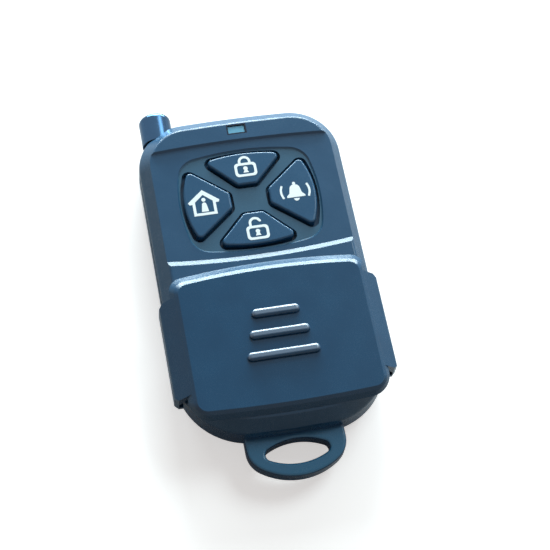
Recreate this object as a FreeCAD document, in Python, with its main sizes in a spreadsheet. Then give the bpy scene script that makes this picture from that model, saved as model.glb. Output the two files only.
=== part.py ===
# Four-key alarm remote with a slide cover and a telescopic antenna.
# Millimetres. +X is the width, +Y points from the key-ring lug to the antenna end, +Z is the
# front. Lengths are first measured from the middle of the key cluster; the last step of each
# piece moves it so that the origin is the middle of the housing's back face.

import math
import os

import FreeCAD
import Part
import Sketcher

# Driving dimensions

SIZES = {
    # housing, as an outline seen from the front
    "body_top": 19.0,
    "body_end": 44.3,
    "top_corner": 9.2,
    "end_corner": 13.0,
    "top_crown": 250.0,
    "end_crown": 120.0,
    # housing, as heights
    "back_rise": 3.0,
    "flank_rise": 2.0,
    "flank_edge": 1.5,
    "face_edge": 0.6,
    "face_inset_side": 2.2,
    "face_inset_top": 2.95,
    "face_inset_end": 1.9,
    "back_inset": 1.1,
    "back_edge": 0.8,
    "wall": 2.0,
    "floor_wall": 1.3,
    "front_wall": 1.6,
    # key pan between the cap zone and the slide plane
    "pan_depth": 0.45,
    "pan_from_top": 6.8,
    "pan_top_slope": 0.35,
    "pan_foot": 11.4,
    "pan_foot_slope": 1.0,
    "pan_top_radius": 233.0,
    "pan_foot_radius": 160.0,
    "web_depth": 0.3,
    "web_slope": 0.3,
    "web_half_x": 12.8,
    "web_half_y": 10.2,
    "web_side_radius": 30.0,
    "web_top_radius": 52.0,
    "web_corner": 3.8,
    # upper and lower keys
    "fan_start": 2.43,
    "fan_start_half": 2.0,
    "fan_spread": 0.98,
    "fan_shoulder": 9.1,
    "fan_reach": 10.0,
    # left and right keys
    "side_start": 3.08,
    "side_start_half": 1.79,
    "side_spread": 0.81,
    "side_shoulder": 11.0,
    "side_reach": 12.7,
    # keys
    "key_gap": 0.5,
    "key_lip": 0.4,
    "key_lip_thickness": 0.8,
    "key_lip_clearance": 0.05,
    "key_proud": 0.4,
    "key_pusher": 0.35,
    "key_pusher_radius": 1.4,
    "opening_corner": 1.35,
    "key_edge": 0.4,
    # slide cover
    "cover_thickness": 1.7,
    "cover_clearance": 0.1,
    "cover_lead": 13.35,
    "cover_from_end": 2.2,
    "cover_from_side": 1.2,
    "cover_lead_slope": 2.0,
    "cover_end_slope": 1.0,
    "cover_side_slope": 1.2,
    "cover_lead_radius": 135.0,
    "cover_end_radius": 250.0,
    "cover_lead_corner": 2.6,
    "cover_end_corner": 4.2,
    "cover_face_lead_corner": 1.8,
    "cover_face_end_corner": 1.8,
    "cover_edge_drop": 0.6,
    "cover_edge_run": 0.2,
    "cover_relief": 0.4,
    "cover_runner": 3.4,
    # wings of the slide cover
    "wing_gap": 0.15,
    "wing_wall": 0.75,
    "wing_lead": 18.1,
    "wing_end": 36.7,
    "wing_splay": 0.7,
    "wing_root": 2.6,
    "wing_shoulder": 0.7,
    "wing_edge": 1.0,
    "rail_height": 1.1,
    "rail_depth": 0.8,
    "rail_clearance": 0.15,
    "cover_travel": 26.5,
    # grip ribs
    "rib_first": 23.9,
    "rib_pitch": 4.0,
    "rib_half_length": 4.35,
    "rib_growth": 1.07,
    "rib_width": 1.75,
    "rib_height": 0.7,
    "rib_edge": 0.65,
    # key-ring lug
    "lug_half": 8.9,
    "lug_reach": 7.7,
    "lug_thickness": 3.0,
    "lug_corner": 4.6,
    "lug_crown": 12.0,
    "lug_hole_reach": 3.1,
    "lug_hole_half": 5.7,
    "lug_hole_rise": 2.25,
    "lug_hole_end": 1.15,
    "lug_edge": 0.5,
    "lug_rim_start": 0.05,
    # light guide and light
    "window_from_top": 4.35,
    "window_length": 3.1,
    "window_width": 1.5,
    "window_clearance": 0.05,
    "window_sunk": 0.25,
    "window_lip": 0.6,
    "window_lip_depth": 0.5,
    "led_radius": 1.5,
    "led_rim": 0.3,
    "led_rim_height": 0.8,
    "led_height": 4.0,
    "led_dome": 1.35,
    # antenna
    "antenna_from_side": 4.6,
    "antenna_gap": 0.25,
    "antenna_tube_radius": 1.9,
    "tube_wall": 0.3,
    "tube_clearance": 0.05,
    "antenna_foot": 22.0,
    "antenna_foot_gap": 1.0,
    "antenna_seat_depth": 3.1,
    "antenna_cap_radius": 3.0,
    "antenna_cap_length": 5.9,
    "antenna_cap_gap": 0.3,
    "antenna_cap_clearance": 0.25,
    "antenna_cap_dome": 1.1,
    "collar_radius": 2.6,
    "collar_length": 4.0,
    "collar_clearance": 0.05,
    "clip_wall": 0.4,
    "clip_length": 4.0,
    "clip_foot": 1.2,
    "clip_middle": -13.0,
    # circuit board
    "board_side_gap": 1.4,
    "board_top_gap": 1.2,
    "board_thickness": 1.2,
    "board_top_corner": 6.8,
    "board_end_corner": 1.2,
    "board_end_crown": 2000.0,
    "board_clearance": 0.3,
    "post_radius": 1.4,
    "post_height": 0.95,
    # tact switches
    "switch_side": 6.0,
    "switch_body": 3.5,
    "switch_height": 4.3,
    "switch_leg": 0.7,
    "switch_leg_length": 0.8,
    "switch_leg_sheet": 0.2,
    "switch_well": 1.3,
    "plunger_radius": 1.75,
    "plunger_clearance": 0.1,
    "plunger_depth": 0.8,
    "upper_switch_reach": 6.3,
    "side_switch_gap": 0.3,
    # battery and its contacts
    "battery_radius": 3.85,
    "battery_body": 27.2,
    "battery_button": 0.8,
    "battery_button_radius": 1.9,
    "battery_from_end": 10.9,
    "battery_lift": 0.15,
    "battery_bay_gap": 0.45,
    "battery_bay_room": 1.0,
    "battery_end_room": 2.0,
    "contact_sheet": 0.4,
    "contact_width": 5.0,
    "contact_height": 6.6,
    "contact_spring_gap": 1.4,
    "cradle_reach": 6.8,
    "cradle_wall": 1.2,
    "cradle_drop": 1.2,
    # components on the board
    "encoder_length": 10.3,
    "encoder_width": 7.5,
    "encoder_height": 2.2,
    "encoder_lift": 0.2,
    "encoder_pin": 0.42,
    "encoder_pin_reach": 1.3,
    "encoder_pin_pitch": 1.27,
    "encoder_x": -3.5,
    "encoder_y": -16.4,
    "saw_radius": 4.3,
    "saw_height": 3.0,
    "saw_rim": 0.35,
    "saw_rim_height": 0.5,
    "saw_from_side": 6.0,
    "saw_y": -16.2,
    "transistor_x": 3.2,
    "transistor_y": -21.6,
    "transistor_length": 2.9,
    "transistor_width": 1.3,
    "transistor_height": 1.0,
    "choke_radius": 1.3,
    "choke_length": 5.6,
    "choke_from_side": 2.8,
    "choke_y": 9.2,
    "choke_lead": 0.3,
    "resistor_length": 2.0,
    "resistor_width": 1.25,
    "resistor_height": 0.6,
    "resistor_pitch": 1.9,
    "resistor_from_side": 8.3,
    "resistor_y": -22.6,
    # screws
    "screw_boss": 2.5,
    "screw_head": 1.6,
    "screw_head_height": 1.2,
    "screw_sunk": 0.3,
    "screw_radius": 0.9,
    "screw_clearance": 0.15,
    "screw_bite": 0.02,
    "screw_tip_gap": 0.6,
    "screw_slot": 0.4,
    "screw_slot_depth": 0.5,
    "screw_slot_reach": 0.96,
    "upper_screw_x": 9.5,
    "screw_boss_gap": 0.2,
    "lower_screw_from_end": 4.3,
    # how far cuts run past a face, and how deep a rib or boss roots in a wall
    "overrun": 4.0,
    "short_overrun": 1.0,
    "root": 0.3,
}

KEY_DIRECTIONS = {"lock": (0, 1), "unlock": (0, -1), "home": (-1, 0), "alarm": (1, 0)}
ENCODER_PINS_A_SIDE = 8
CHIP_RESISTORS = 4
GRIP_RIBS = 3
TUBES = ("antenna_base_tube", "antenna_lower_tube", "antenna_upper_tube")
ROD_STAGE = len(TUBES)

# two levels this close count as one
NEAR = 0.01

document = FreeCAD.newDocument("wireless_remote")
sheet = document.addObject("Spreadsheet::Sheet", "sizes")


class Size:
    """A length that knows its number and the formula that gives it from the sheet."""

    def __init__(self, value, formula):
        self.value = float(value)
        self.formula = formula

    def __add__(self, other):
        other = as_size(other)
        return Size(self.value + other.value, f"({self.formula} + {other.formula})")

    def __sub__(self, other):
        other = as_size(other)
        return Size(self.value - other.value, f"({self.formula} - {other.formula})")

    def __mul__(self, other):
        other = as_size(other)
        return Size(self.value * other.value, f"({self.formula} * {other.formula})")

    def __truediv__(self, other):
        other = as_size(other)
        return Size(self.value / other.value, f"({self.formula} / {other.formula})")

    def __neg__(self):
        return Size(-self.value, f"(0 - {self.formula})")

    def root(self):
        return Size(math.sqrt(self.value), f"sqrt({self.formula})")


def as_size(number):
    return number if isinstance(number, Size) else Size(number, f"({float(number)})")


def size(name):
    return Size(SIZES[name], f"sizes.{name}")


def fill_sheet():
    for row, (name, number) in enumerate(SIZES.items(), start=1):
        sheet.set(f"A{row}", name)
        sheet.set(f"B{row}", str(number))
        sheet.setAlias(f"B{row}", name)
    document.recompute()


def bind(thing, **sizes):
    """Bind properties of a document object to formulas of the sheet."""
    for name, amount in sizes.items():
        thing.setExpression(name, as_size(amount).formula)


# Sketches on the origin planes of a body

TO_XY = "XY_Plane"
TO_XZ = "XZ_Plane"
# the edge number of the sketch's own origin, and the point numbers of an edge
ORIGIN = -1
START, END, CENTRE = range(1, 4)
UP = FreeCAD.Vector(0, 0, 1)


def new_body(label):
    body = document.addObject("PartDesign::Body", label)
    body.Label = label
    return body


def new_sketch(body, name, level, role=TO_XY):
    """A sketch parallel to an origin plane, at a level along that plane's normal."""
    plane = [item for item in body.Origin.OriginFeatures if item.Role == role][0]
    sketch = body.newObject("Sketcher::SketchObject", f"{body.Label}_{name}")
    sketch.AttachmentSupport = (plane, "")
    sketch.MapMode = "FlatFace"
    sketch.setExpression("AttachmentOffset.Base.z", as_size(level).formula)
    sketch.AttachmentOffset.Base.z = as_size(level).value
    return sketch


def bind_constraint(sketch, constraint, name, amount):
    index = sketch.addConstraint(constraint)
    sketch.renameConstraint(index, name)
    sketch.setExpression(f"Constraints.{name}", as_size(amount).formula)


def fix_point(sketch, edge, point, x=None, y=None):
    """Hold a point of an edge at its distances from the sketch's origin."""
    for kind, amount in (("DistanceX", x), ("DistanceY", y)):
        if amount is not None:
            name = f"{kind}_{edge}_{point}"
            value = as_size(amount).value
            rule = Sketcher.Constraint(kind, ORIGIN, START, edge, point, value)
            bind_constraint(sketch, rule, name, amount)


def fix_radius(sketch, edge, radius):
    rule = Sketcher.Constraint("Radius", edge, as_size(radius).value)
    bind_constraint(sketch, rule, f"radius_{edge}", radius)


def spot(x, y):
    return FreeCAD.Vector(as_size(x).value, as_size(y).value, 0)


def arc_edge(centre, radius, start_angle, end_angle):
    circle = Part.Circle(centre, UP, radius)
    return Part.ArcOfCircle(circle, start_angle, end_angle)


def draw_polygon(sketch, corners):
    """A closed run of lines whose corners are held one by one."""
    first = sketch.GeometryCount
    count = len(corners)
    for index in range(count):
        here = spot(*corners[index])
        there = spot(*corners[(index + 1) % count])
        sketch.addGeometry(Part.LineSegment(here, there), False)
    for index in range(count):
        edge = first + index
        following = first + (index + 1) % count
        sketch.addConstraint(Sketcher.Constraint("Coincident", edge, END, following, START))
        fix_point(sketch, edge, START, *corners[index])


def draw_circle(sketch, x, y, radius):
    edge = sketch.addGeometry(Part.Circle(spot(x, y), UP, as_size(radius).value), False)
    fix_point(sketch, edge, CENTRE, x, y)
    fix_radius(sketch, edge, radius)


def join_smoothly(sketch, first, count):
    for index in range(count):
        edge = first + index
        following = first + (index + 1) % count
        sketch.addConstraint(Sketcher.Constraint("Tangent", edge, END, following, START))


class Outline:
    """A housing outline: straight sides, crowned ends and round corners."""

    def __init__(self, half, top, end, top_corner, end_corner, top_crown, end_crown):
        self.half = half
        self.top = top
        self.end = end
        self.top_corner = top_corner
        self.end_corner = end_corner
        self.top_crown = top_crown
        self.end_crown = end_crown

    def inset(self, side, top, end):
        """The same outline moved inwards; its corners shrink with the sides."""
        return Outline(self.half - side, self.top - top, self.end + end, self.top_corner - side,
                       self.end_corner - side, self.top_crown - top, self.end_crown - end)


def draw_outline(sketch, outline):
    """Two side lines, two crowned ends and four corner arcs, run counter-clockwise."""
    half = outline.half.value
    top_centre = outline.top - outline.top_crown
    end_centre = outline.end + outline.end_crown
    top_arm = outline.top_crown.value - outline.top_corner.value
    end_arm = outline.end_crown.value - outline.end_corner.value
    top_reach = half - outline.top_corner.value
    end_reach = half - outline.end_corner.value
    top_y = top_centre.value + math.sqrt(top_arm ** 2 - top_reach ** 2)
    end_y = end_centre.value - math.sqrt(end_arm ** 2 - end_reach ** 2)
    top_turn = math.acos(top_reach / top_arm)
    end_turn = math.acos(end_reach / end_arm)
    top_radius = outline.top_corner.value
    end_radius = outline.end_corner.value
    edges = [
        Part.LineSegment(spot(half, end_y), spot(half, top_y)),
        arc_edge(spot(top_reach, top_y), top_radius, 0, top_turn),
        arc_edge(spot(0, top_centre), outline.top_crown.value, top_turn, math.pi - top_turn),
        arc_edge(spot(-top_reach, top_y), top_radius, math.pi - top_turn, math.pi),
        Part.LineSegment(spot(-half, top_y), spot(-half, end_y)),
        arc_edge(spot(-end_reach, end_y), end_radius, math.pi, math.pi + end_turn),
        arc_edge(spot(0, end_centre), outline.end_crown.value, math.pi + end_turn, -end_turn),
        arc_edge(spot(end_reach, end_y), end_radius, -end_turn, 0),
    ]
    first = sketch.GeometryCount
    for edge in edges:
        sketch.addGeometry(edge, False)
    join_smoothly(sketch, first, len(edges))
    right, top_right, crown, top_left, left, end_left, foot, end_right = range(first, first + 8)
    sketch.addConstraint(Sketcher.Constraint("Vertical", right))
    sketch.addConstraint(Sketcher.Constraint("Vertical", left))
    fix_point(sketch, right, START, x=outline.half)
    fix_point(sketch, left, START, x=-outline.half)
    fix_point(sketch, crown, CENTRE, 0, top_centre)
    fix_point(sketch, foot, CENTRE, 0, end_centre)
    fix_radius(sketch, crown, outline.top_crown)
    fix_radius(sketch, foot, outline.end_crown)
    for edge in (top_right, top_left):
        fix_radius(sketch, edge, outline.top_corner)
    for edge in (end_left, end_right):
        fix_radius(sketch, edge, outline.end_corner)


def draw_barrel(sketch, half_x, half_y, side_radius, top_radius, corner, middle=0):
    """A rounded rectangle whose four sides all bulge outwards."""
    side_centre = half_x - side_radius
    top_centre = half_y - top_radius
    side_arm = side_radius.value - corner.value
    top_arm = top_radius.value - corner.value
    gap_x = side_centre.value
    gap_y = top_centre.value
    gap = math.hypot(gap_x, gap_y)
    along = (side_arm ** 2 - top_arm ** 2 + gap ** 2) / (2 * gap)
    away = math.sqrt(side_arm ** 2 - along ** 2)
    corner_x = gap_x - gap_x / gap * along - gap_y / gap * away
    corner_y = gap_y / gap * along - gap_x / gap * away
    side_turn = math.atan2(corner_y, corner_x - gap_x)
    top_turn = math.atan2(corner_y - gap_y, corner_x)
    lift = as_size(middle)
    quarters = ((1, 1), (-1, 1), (-1, -1), (1, -1))
    turns = (
        (side_turn, top_turn),
        (math.pi - top_turn, math.pi - side_turn),
        (math.pi + side_turn, math.pi + top_turn),
        (-top_turn, -side_turn),
    )
    sides = (
        (0, lift + top_centre, top_radius, top_turn, math.pi - top_turn),
        (-side_centre, lift, side_radius, math.pi - side_turn, math.pi + side_turn),
        (0, lift - top_centre, top_radius, math.pi + top_turn, -top_turn),
        (side_centre, lift, side_radius, -side_turn, side_turn),
    )
    first = sketch.GeometryCount
    for (sign_x, sign_y), (start, end), side in zip(quarters, turns, sides):
        centre = spot(sign_x * corner_x, lift + sign_y * corner_y)
        sketch.addGeometry(arc_edge(centre, corner.value, start, end), False)
        x, y, radius, side_start, side_end = side
        sketch.addGeometry(arc_edge(spot(x, y), radius.value, side_start, side_end), False)
    join_smoothly(sketch, first, 2 * len(sides))
    for index, (x, y, radius, side_start, side_end) in enumerate(sides):
        corner_edge = first + 2 * index
        side_edge = corner_edge + 1
        fix_radius(sketch, corner_edge, corner)
        fix_radius(sketch, side_edge, radius)
        fix_point(sketch, side_edge, CENTRE, x, y)


class Fan:
    """A fan-shaped key seen from the front, in lengths along and across its own direction."""

    def __init__(self, start, start_half, spread, shoulder, reach):
        self.start = start
        self.start_half = start_half
        self.spread = spread
        self.shoulder = shoulder
        self.reach = reach

    def inset(self, gap):
        """The same fan with every edge moved inwards by a gap."""
        gap = as_size(gap)
        lean = (self.spread * self.spread + 1).root() - self.spread
        return Fan(self.start + gap, self.start_half - gap * lean, self.spread,
                   self.shoulder - gap, self.reach - gap)

    def shoulder_half(self):
        return self.start_half + (self.shoulder - self.start) * self.spread

    def rim_radius(self):
        rise = self.reach - self.shoulder
        half = self.shoulder_half()
        return (half * half + rise * rise) / (rise * 2)


def draw_fan(sketch, fan, direction):
    """Inner edge, two spreading sides and a bulging outer edge, turned to a direction."""
    half = fan.shoulder_half()
    radius = fan.rim_radius()
    turned = {
        (0, 1): lambda along, across: (-across, along),
        (0, -1): lambda along, across: (across, -along),
        (1, 0): lambda along, across: (along, across),
        (-1, 0): lambda along, across: (-along, -across),
    }[direction]
    corners = [
        turned(fan.start, fan.start_half),
        turned(fan.start, -fan.start_half),
        turned(fan.shoulder, -half),
        turned(fan.shoulder, half),
    ]
    centre = spot(*turned(fan.reach - radius, as_size(0)))
    opening = math.asin(half.value / radius.value)
    facing = math.atan2(direction[1], direction[0])
    first = sketch.GeometryCount
    for index in range(2):
        here = spot(*corners[index])
        there = spot(*corners[index + 1])
        sketch.addGeometry(Part.LineSegment(here, there), False)
    sketch.addGeometry(arc_edge(centre, radius.value, facing - opening, facing + opening), False)
    sketch.addGeometry(Part.LineSegment(spot(*corners[3]), spot(*corners[0])), False)
    for index in range(4):
        edge = first + index
        following = first + (index + 1) % 4
        sketch.addConstraint(Sketcher.Constraint("Coincident", edge, END, following, START))
        fix_point(sketch, edge, START, *corners[index])
    fix_radius(sketch, first + 2, radius)


# Features of a body

def pad(sketch, length, reverse=False, name="pad"):
    body = sketch.getParentGeoFeatureGroup()
    feature = body.newObject("PartDesign::Pad", f"{sketch.Label}_{name}")
    feature.Profile = sketch
    feature.Reversed = reverse
    bind(feature, Length=length)
    return feature


def pocket(sketch, length, upward=False):
    """Cut towards the back of the sketch, or upward, along its normal."""
    body = sketch.getParentGeoFeatureGroup()
    feature = body.newObject("PartDesign::Pocket", f"{sketch.Label}_cut")
    feature.Profile = sketch
    feature.Reversed = upward
    bind(feature, Length=length)
    return feature


def loft(body, name, lower, upper, cut=False):
    kind = "PartDesign::SubtractiveLoft" if cut else "PartDesign::AdditiveLoft"
    feature = body.newObject(kind, f"{body.Label}_{name}")
    feature.Profile = lower
    feature.Sections = [upper]
    feature.Ruled = True
    return feature


def stretch_block(body, name, low, high, cut=False):
    """A block between two corners, added to the body or cut from it."""
    kind = "PartDesign::SubtractiveBox" if cut else "PartDesign::AdditiveBox"
    block = body.newObject(kind, f"{body.Label}_{name}")
    spans = [as_size(b) - as_size(a) for a, b in zip(low, high)]
    bind(block, Length=spans[0], Width=spans[1], Height=spans[2])
    place(block, low)
    return block


TURNS = {
    "x": FreeCAD.Rotation(FreeCAD.Vector(0, 1, 0), 90),
    "y": FreeCAD.Rotation(FreeCAD.Vector(1, 0, 0), -90),
    "z": FreeCAD.Rotation(),
}


def place(thing, base, axis="z"):
    thing.Placement = FreeCAD.Placement(FreeCAD.Vector(), TURNS[axis])
    for letter, amount in zip("xyz", base):
        thing.setExpression(f"Placement.Base.{letter}", as_size(amount).formula)


def stretch_cylinder(body, name, base, radius, length, axis="z", cut=False):
    """A cylinder that starts at a base point and runs along an axis."""
    kind = "PartDesign::SubtractiveCylinder" if cut else "PartDesign::AdditiveCylinder"
    cylinder = body.newObject(kind, f"{body.Label}_{name}")
    bind(cylinder, Radius=radius, Height=length)
    place(cylinder, base, axis)
    return cylinder


def edge_names(shape, chosen):
    """Names of the edges whose ends and middle pass a test."""
    names = []
    for index, edge in enumerate(shape.Edges, start=1):
        if chosen(edge, edge.BoundBox):
            names.append(f"Edge{index}")
    return names


def round_edges(body, name, radius, chosen):
    """Round the edges of the body's last feature that pass a test."""
    document.recompute()
    base = body.Tip
    feature = body.newObject("PartDesign::Fillet", f"{body.Label}_{name}")
    feature.Base = (base, edge_names(base.Shape, chosen))
    bind(feature, Radius=radius)
    return feature


def is_upright(box):
    return box.ZLength > NEAR and box.XLength < NEAR and box.YLength < NEAR


def lies_at(box, level):
    return abs(box.ZMin - level.value) < NEAR and abs(box.ZMax - level.value) < NEAR



# Values shared by several pieces

def battery_half():
    return size("battery_body") / 2


def half_width():
    """The battery lies across the case with its contacts, and sets the case's width."""
    ends = size("contact_spring_gap") + size("battery_end_room")
    return battery_half() + ends + size("wall")


def widest_outline():
    return Outline(half_width(), size("body_top"), -size("body_end"), size("top_corner"),
                   size("end_corner"), size("top_crown"), size("end_crown"))


def inner_outline():
    return widest_outline().inset(size("wall"), size("wall"), size("wall"))


def board_back():
    return size("floor_wall") + size("post_height")


def board_face():
    return board_back() + size("board_thickness")


def parting_height():
    """The shells part at the height of the antenna's axis."""
    return board_face() + size("antenna_gap") + size("antenna_tube_radius")


def flank_height():
    return parting_height() + size("flank_rise")


def plunger_top():
    return board_face() + size("switch_height")


def lip_base():
    return plunger_top() + size("key_pusher")


def lip_top():
    return lip_base() + size("key_lip_thickness")


def roof_height():
    return lip_top() + size("key_lip_clearance")


def pan_height():
    return roof_height() + size("front_wall")


def web_height():
    return pan_height() - size("web_depth")


def face_height():
    return pan_height() + size("pan_depth")


def cover_base():
    return face_height() + size("cover_clearance")


def cover_face():
    return cover_base() + size("cover_thickness")


def cover_half():
    return half_width() - size("cover_from_side")


def cover_end():
    return size("body_end") - size("cover_from_end")


def wing_half():
    return half_width() + size("wing_gap") + size("wing_wall")


def window_middle():
    return size("body_top") - size("window_from_top")


def battery_height():
    return size("floor_wall") + size("battery_lift") + size("battery_radius")


def battery_middle():
    return size("body_end") - size("battery_from_end")


def antenna_offset():
    return half_width() - size("antenna_from_side")


def antenna_x():
    return -antenna_offset()


def antenna_seat():
    return size("body_top") - size("antenna_seat_depth")


def upper_screw_end():
    """Distance of the upper screws from the keys' middle: they fit in above the battery."""
    return battery_middle() - size("battery_radius") - size("screw_boss") - size("screw_boss_gap")


def screw_places():
    across = size("upper_screw_x")
    return [(across, -upper_screw_end()), (-across, -upper_screw_end()),
            (as_size(0), size("lower_screw_from_end") - size("body_end"))]


def board_half():
    return half_width() - size("wall") - size("board_side_gap")


def board_top():
    return size("body_top") - size("wall") - size("board_top_gap")


def board_end():
    return upper_screw_end() - size("screw_boss") - size("screw_boss_gap")


def screw_shelf():
    """Height of the shelf that the screw heads press on."""
    return size("screw_sunk") + size("screw_head_height")


def upper_fan():
    return Fan(size("fan_start"), size("fan_start_half"), size("fan_spread"),
               size("fan_shoulder"), size("fan_reach"))


def side_fan():
    return Fan(size("side_start"), size("side_start_half"), size("side_spread"),
               size("side_shoulder"), size("side_reach"))


def fan_of(direction):
    return upper_fan() if direction[0] == 0 else side_fan()


def side_switch_reach():
    """The switch beside the antenna stands clear of its tube, and the other one matches it."""
    room = size("antenna_tube_radius") + size("side_switch_gap")
    half_switch = size("switch_side") / 2 + size("switch_leg_length")
    return antenna_offset() - room - half_switch


def switch_middle(direction):
    reach = size("upper_switch_reach") if direction[0] == 0 else side_switch_reach()
    return reach * direction[0], reach * direction[1]


def cut_antenna_bore(body):
    """Half of the bore for the collar and of the seat for the antenna's cap."""
    base_y = antenna_seat() - size("collar_length") - size("collar_clearance")
    collar = size("collar_radius") + size("collar_clearance")
    stretch_cylinder(body, "collar_bore", (antenna_x(), base_y, parting_height()),
                     collar, size("collar_length") + size("short_overrun"), "y", cut=True)
    seat = size("antenna_cap_radius") + size("antenna_cap_clearance")
    stretch_cylinder(body, "cap_seat",
                     (antenna_x(), antenna_seat(), parting_height()),
                     seat, size("overrun") * 2, "y", cut=True)


# Front shell

def front_shell():
    body = new_body("front_shell")
    widest = widest_outline()
    parting = parting_height()
    face = widest.inset(size("face_inset_side"), size("face_inset_top"), size("face_inset_end"))
    skirt = new_sketch(body, "skirt", parting)
    draw_outline(skirt, widest)
    pad(skirt, flank_height() - parting)
    lower = new_sketch(body, "shoulder", flank_height())
    draw_outline(lower, widest)
    upper = new_sketch(body, "face", face_height())
    draw_outline(upper, face)
    loft(body, "crown", lower, upper)
    flank = flank_height()
    face_level = face_height()
    round_edges(body, "flank_edge", size("flank_edge"), lambda edge, box: lies_at(box, flank))
    round_edges(body, "face_edge", size("face_edge"), lambda edge, box: lies_at(box, face_level))
    cavity = new_sketch(body, "cavity", parting)
    draw_outline(cavity, inner_outline())
    pocket(cavity, roof_height() - parting, upward=True)
    cut_battery_bay(body)
    cut_key_pan(body)
    cut_key_openings(body)
    cut_window_slot(body)
    cut_rail_grooves(body)
    for index, (x, y) in enumerate(screw_places()):
        stretch_cylinder(body, f"boss_{index}", (x, y, parting), size("screw_boss"),
                         roof_height() - parting + size("root"))
        stretch_cylinder(body, f"pilot_{index}", (x, y, parting),
                         size("screw_radius") + size("screw_bite"),
                         roof_height() - parting - size("screw_tip_gap") / 2, cut=True)
    hold_collar(body, parting, roof_height())
    cut_antenna_bore(body)
    return body


def cut_battery_bay(body):
    half = battery_half() + size("battery_bay_room")
    reach = size("battery_radius") + size("battery_bay_gap")
    low = (-half, -battery_middle() - reach, parting_height())
    high = (half, reach - battery_middle(),
            battery_height() + size("battery_radius") + size("battery_bay_gap"))
    stretch_block(body, "battery_bay", low, high, cut=True)


def draw_pan(sketch, top, foot):
    """The pan's outline: a crowned upper edge and a lower edge that sags at its middle."""
    half = half_width() + size("overrun")
    top_radius = size("pan_top_radius")
    foot_radius = size("pan_foot_radius")
    top_centre = top - top_radius
    foot_centre = foot_radius - foot
    top_turn = math.acos(half.value / top_radius.value)
    foot_turn = math.acos(half.value / foot_radius.value)
    top_y = top_centre.value + top_radius.value * math.sin(top_turn)
    foot_y = foot_centre.value - foot_radius.value * math.sin(foot_turn)
    first = sketch.GeometryCount
    edges = [
        arc_edge(spot(0, top_centre), top_radius.value, top_turn, math.pi - top_turn),
        Part.LineSegment(spot(-half, top_y), spot(-half, foot_y)),
        arc_edge(spot(0, foot_centre), foot_radius.value, math.pi + foot_turn, -foot_turn),
        Part.LineSegment(spot(half, foot_y), spot(half, top_y)),
    ]
    for edge in edges:
        sketch.addGeometry(edge, False)
    for index in range(4):
        edge = first + index
        following = first + (index + 1) % 4
        sketch.addConstraint(Sketcher.Constraint("Coincident", edge, END, following, START))
    crown, left, sag, right = range(first, first + 4)
    for edge, centre, radius in ((crown, top_centre, top_radius), (sag, foot_centre, foot_radius)):
        fix_point(sketch, edge, CENTRE, 0, centre)
        fix_radius(sketch, edge, radius)
    sketch.addConstraint(Sketcher.Constraint("Vertical", left))
    sketch.addConstraint(Sketcher.Constraint("Vertical", right))
    fix_point(sketch, left, START, x=-half)
    fix_point(sketch, right, START, x=half)


def cut_key_pan(body):
    """The shallow pan with its slopes, and the web's recess in its floor."""
    top = size("body_top") - size("pan_from_top")
    foot = size("pan_foot")
    floor = new_sketch(body, "pan_floor", pan_height())
    draw_pan(floor, top, foot)
    rim = new_sketch(body, "pan_rim", face_height())
    draw_pan(rim, top + size("pan_top_slope"), foot + size("pan_foot_slope"))
    loft(body, "pan", floor, rim, cut=True)
    web = new_sketch(body, "web", web_height())
    draw_web(web, as_size(0))
    web_rim = new_sketch(body, "web_rim", pan_height())
    draw_web(web_rim, size("web_slope"))
    loft(body, "web_recess", web, web_rim, cut=True)


def draw_web(sketch, grown):
    draw_barrel(sketch, size("web_half_x") + grown, size("web_half_y") + grown,
                size("web_side_radius") + grown, size("web_top_radius") + grown,
                size("web_corner") + grown)


def cut_key_openings(body):
    for name, direction in KEY_DIRECTIONS.items():
        opening = new_sketch(body, f"{name}_opening", web_height())
        draw_fan(opening, fan_of(direction), direction)
        pocket(opening, web_height() - roof_height())

    def is_opening_corner(edge, box):
        inside = (abs(box.Center.x) < size("web_half_x").value
                  and abs(box.Center.y) < size("web_half_y").value)
        spans_web = abs(box.ZMax - web_height().value) < NEAR
        return inside and spans_web and is_upright(box)

    round_edges(body, "opening_corners", size("opening_corner"), is_opening_corner)


def cut_window_slot(body):
    half_x = size("window_length") / 2 + size("window_clearance")
    half_y = size("window_width") / 2 + size("window_clearance")
    middle = window_middle()
    stretch_block(body, "window_slot", (-half_x, middle - half_y, roof_height()),
                  (half_x, middle + half_y, face_height() + size("short_overrun")), cut=True)


def rail_top():
    return parting_height() + size("rail_height")


def cut_rail_grooves(body):
    """Grooves along both flanks, open at the parting face, for the hooks of the wings."""
    margin = size("short_overrun")
    low_y = -size("wing_end") - margin
    high_y = size("cover_travel") - size("wing_lead") + margin
    inner = half_width() - size("rail_depth")
    outer = half_width() + margin
    for side, (low_x, high_x) in (("right", (inner, outer)), ("left", (-outer, -inner))):
        stretch_block(body, f"{side}_rail", (low_x, low_y, parting_height()),
                      (high_x, high_y, rail_top()), cut=True)


def hold_collar(body, low, high):
    """A rib from the corner's wall across the housing that clamps the antenna's collar."""
    half = size("collar_radius") + size("clip_wall")
    far = antenna_seat() - size("wall")
    near = antenna_seat() - size("collar_length")
    stretch_block(body, "collar_rib", (antenna_x() - size("wall"), near, low),
                  (antenna_x() + half, far, high))


# Back shell with the key-ring lug

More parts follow.
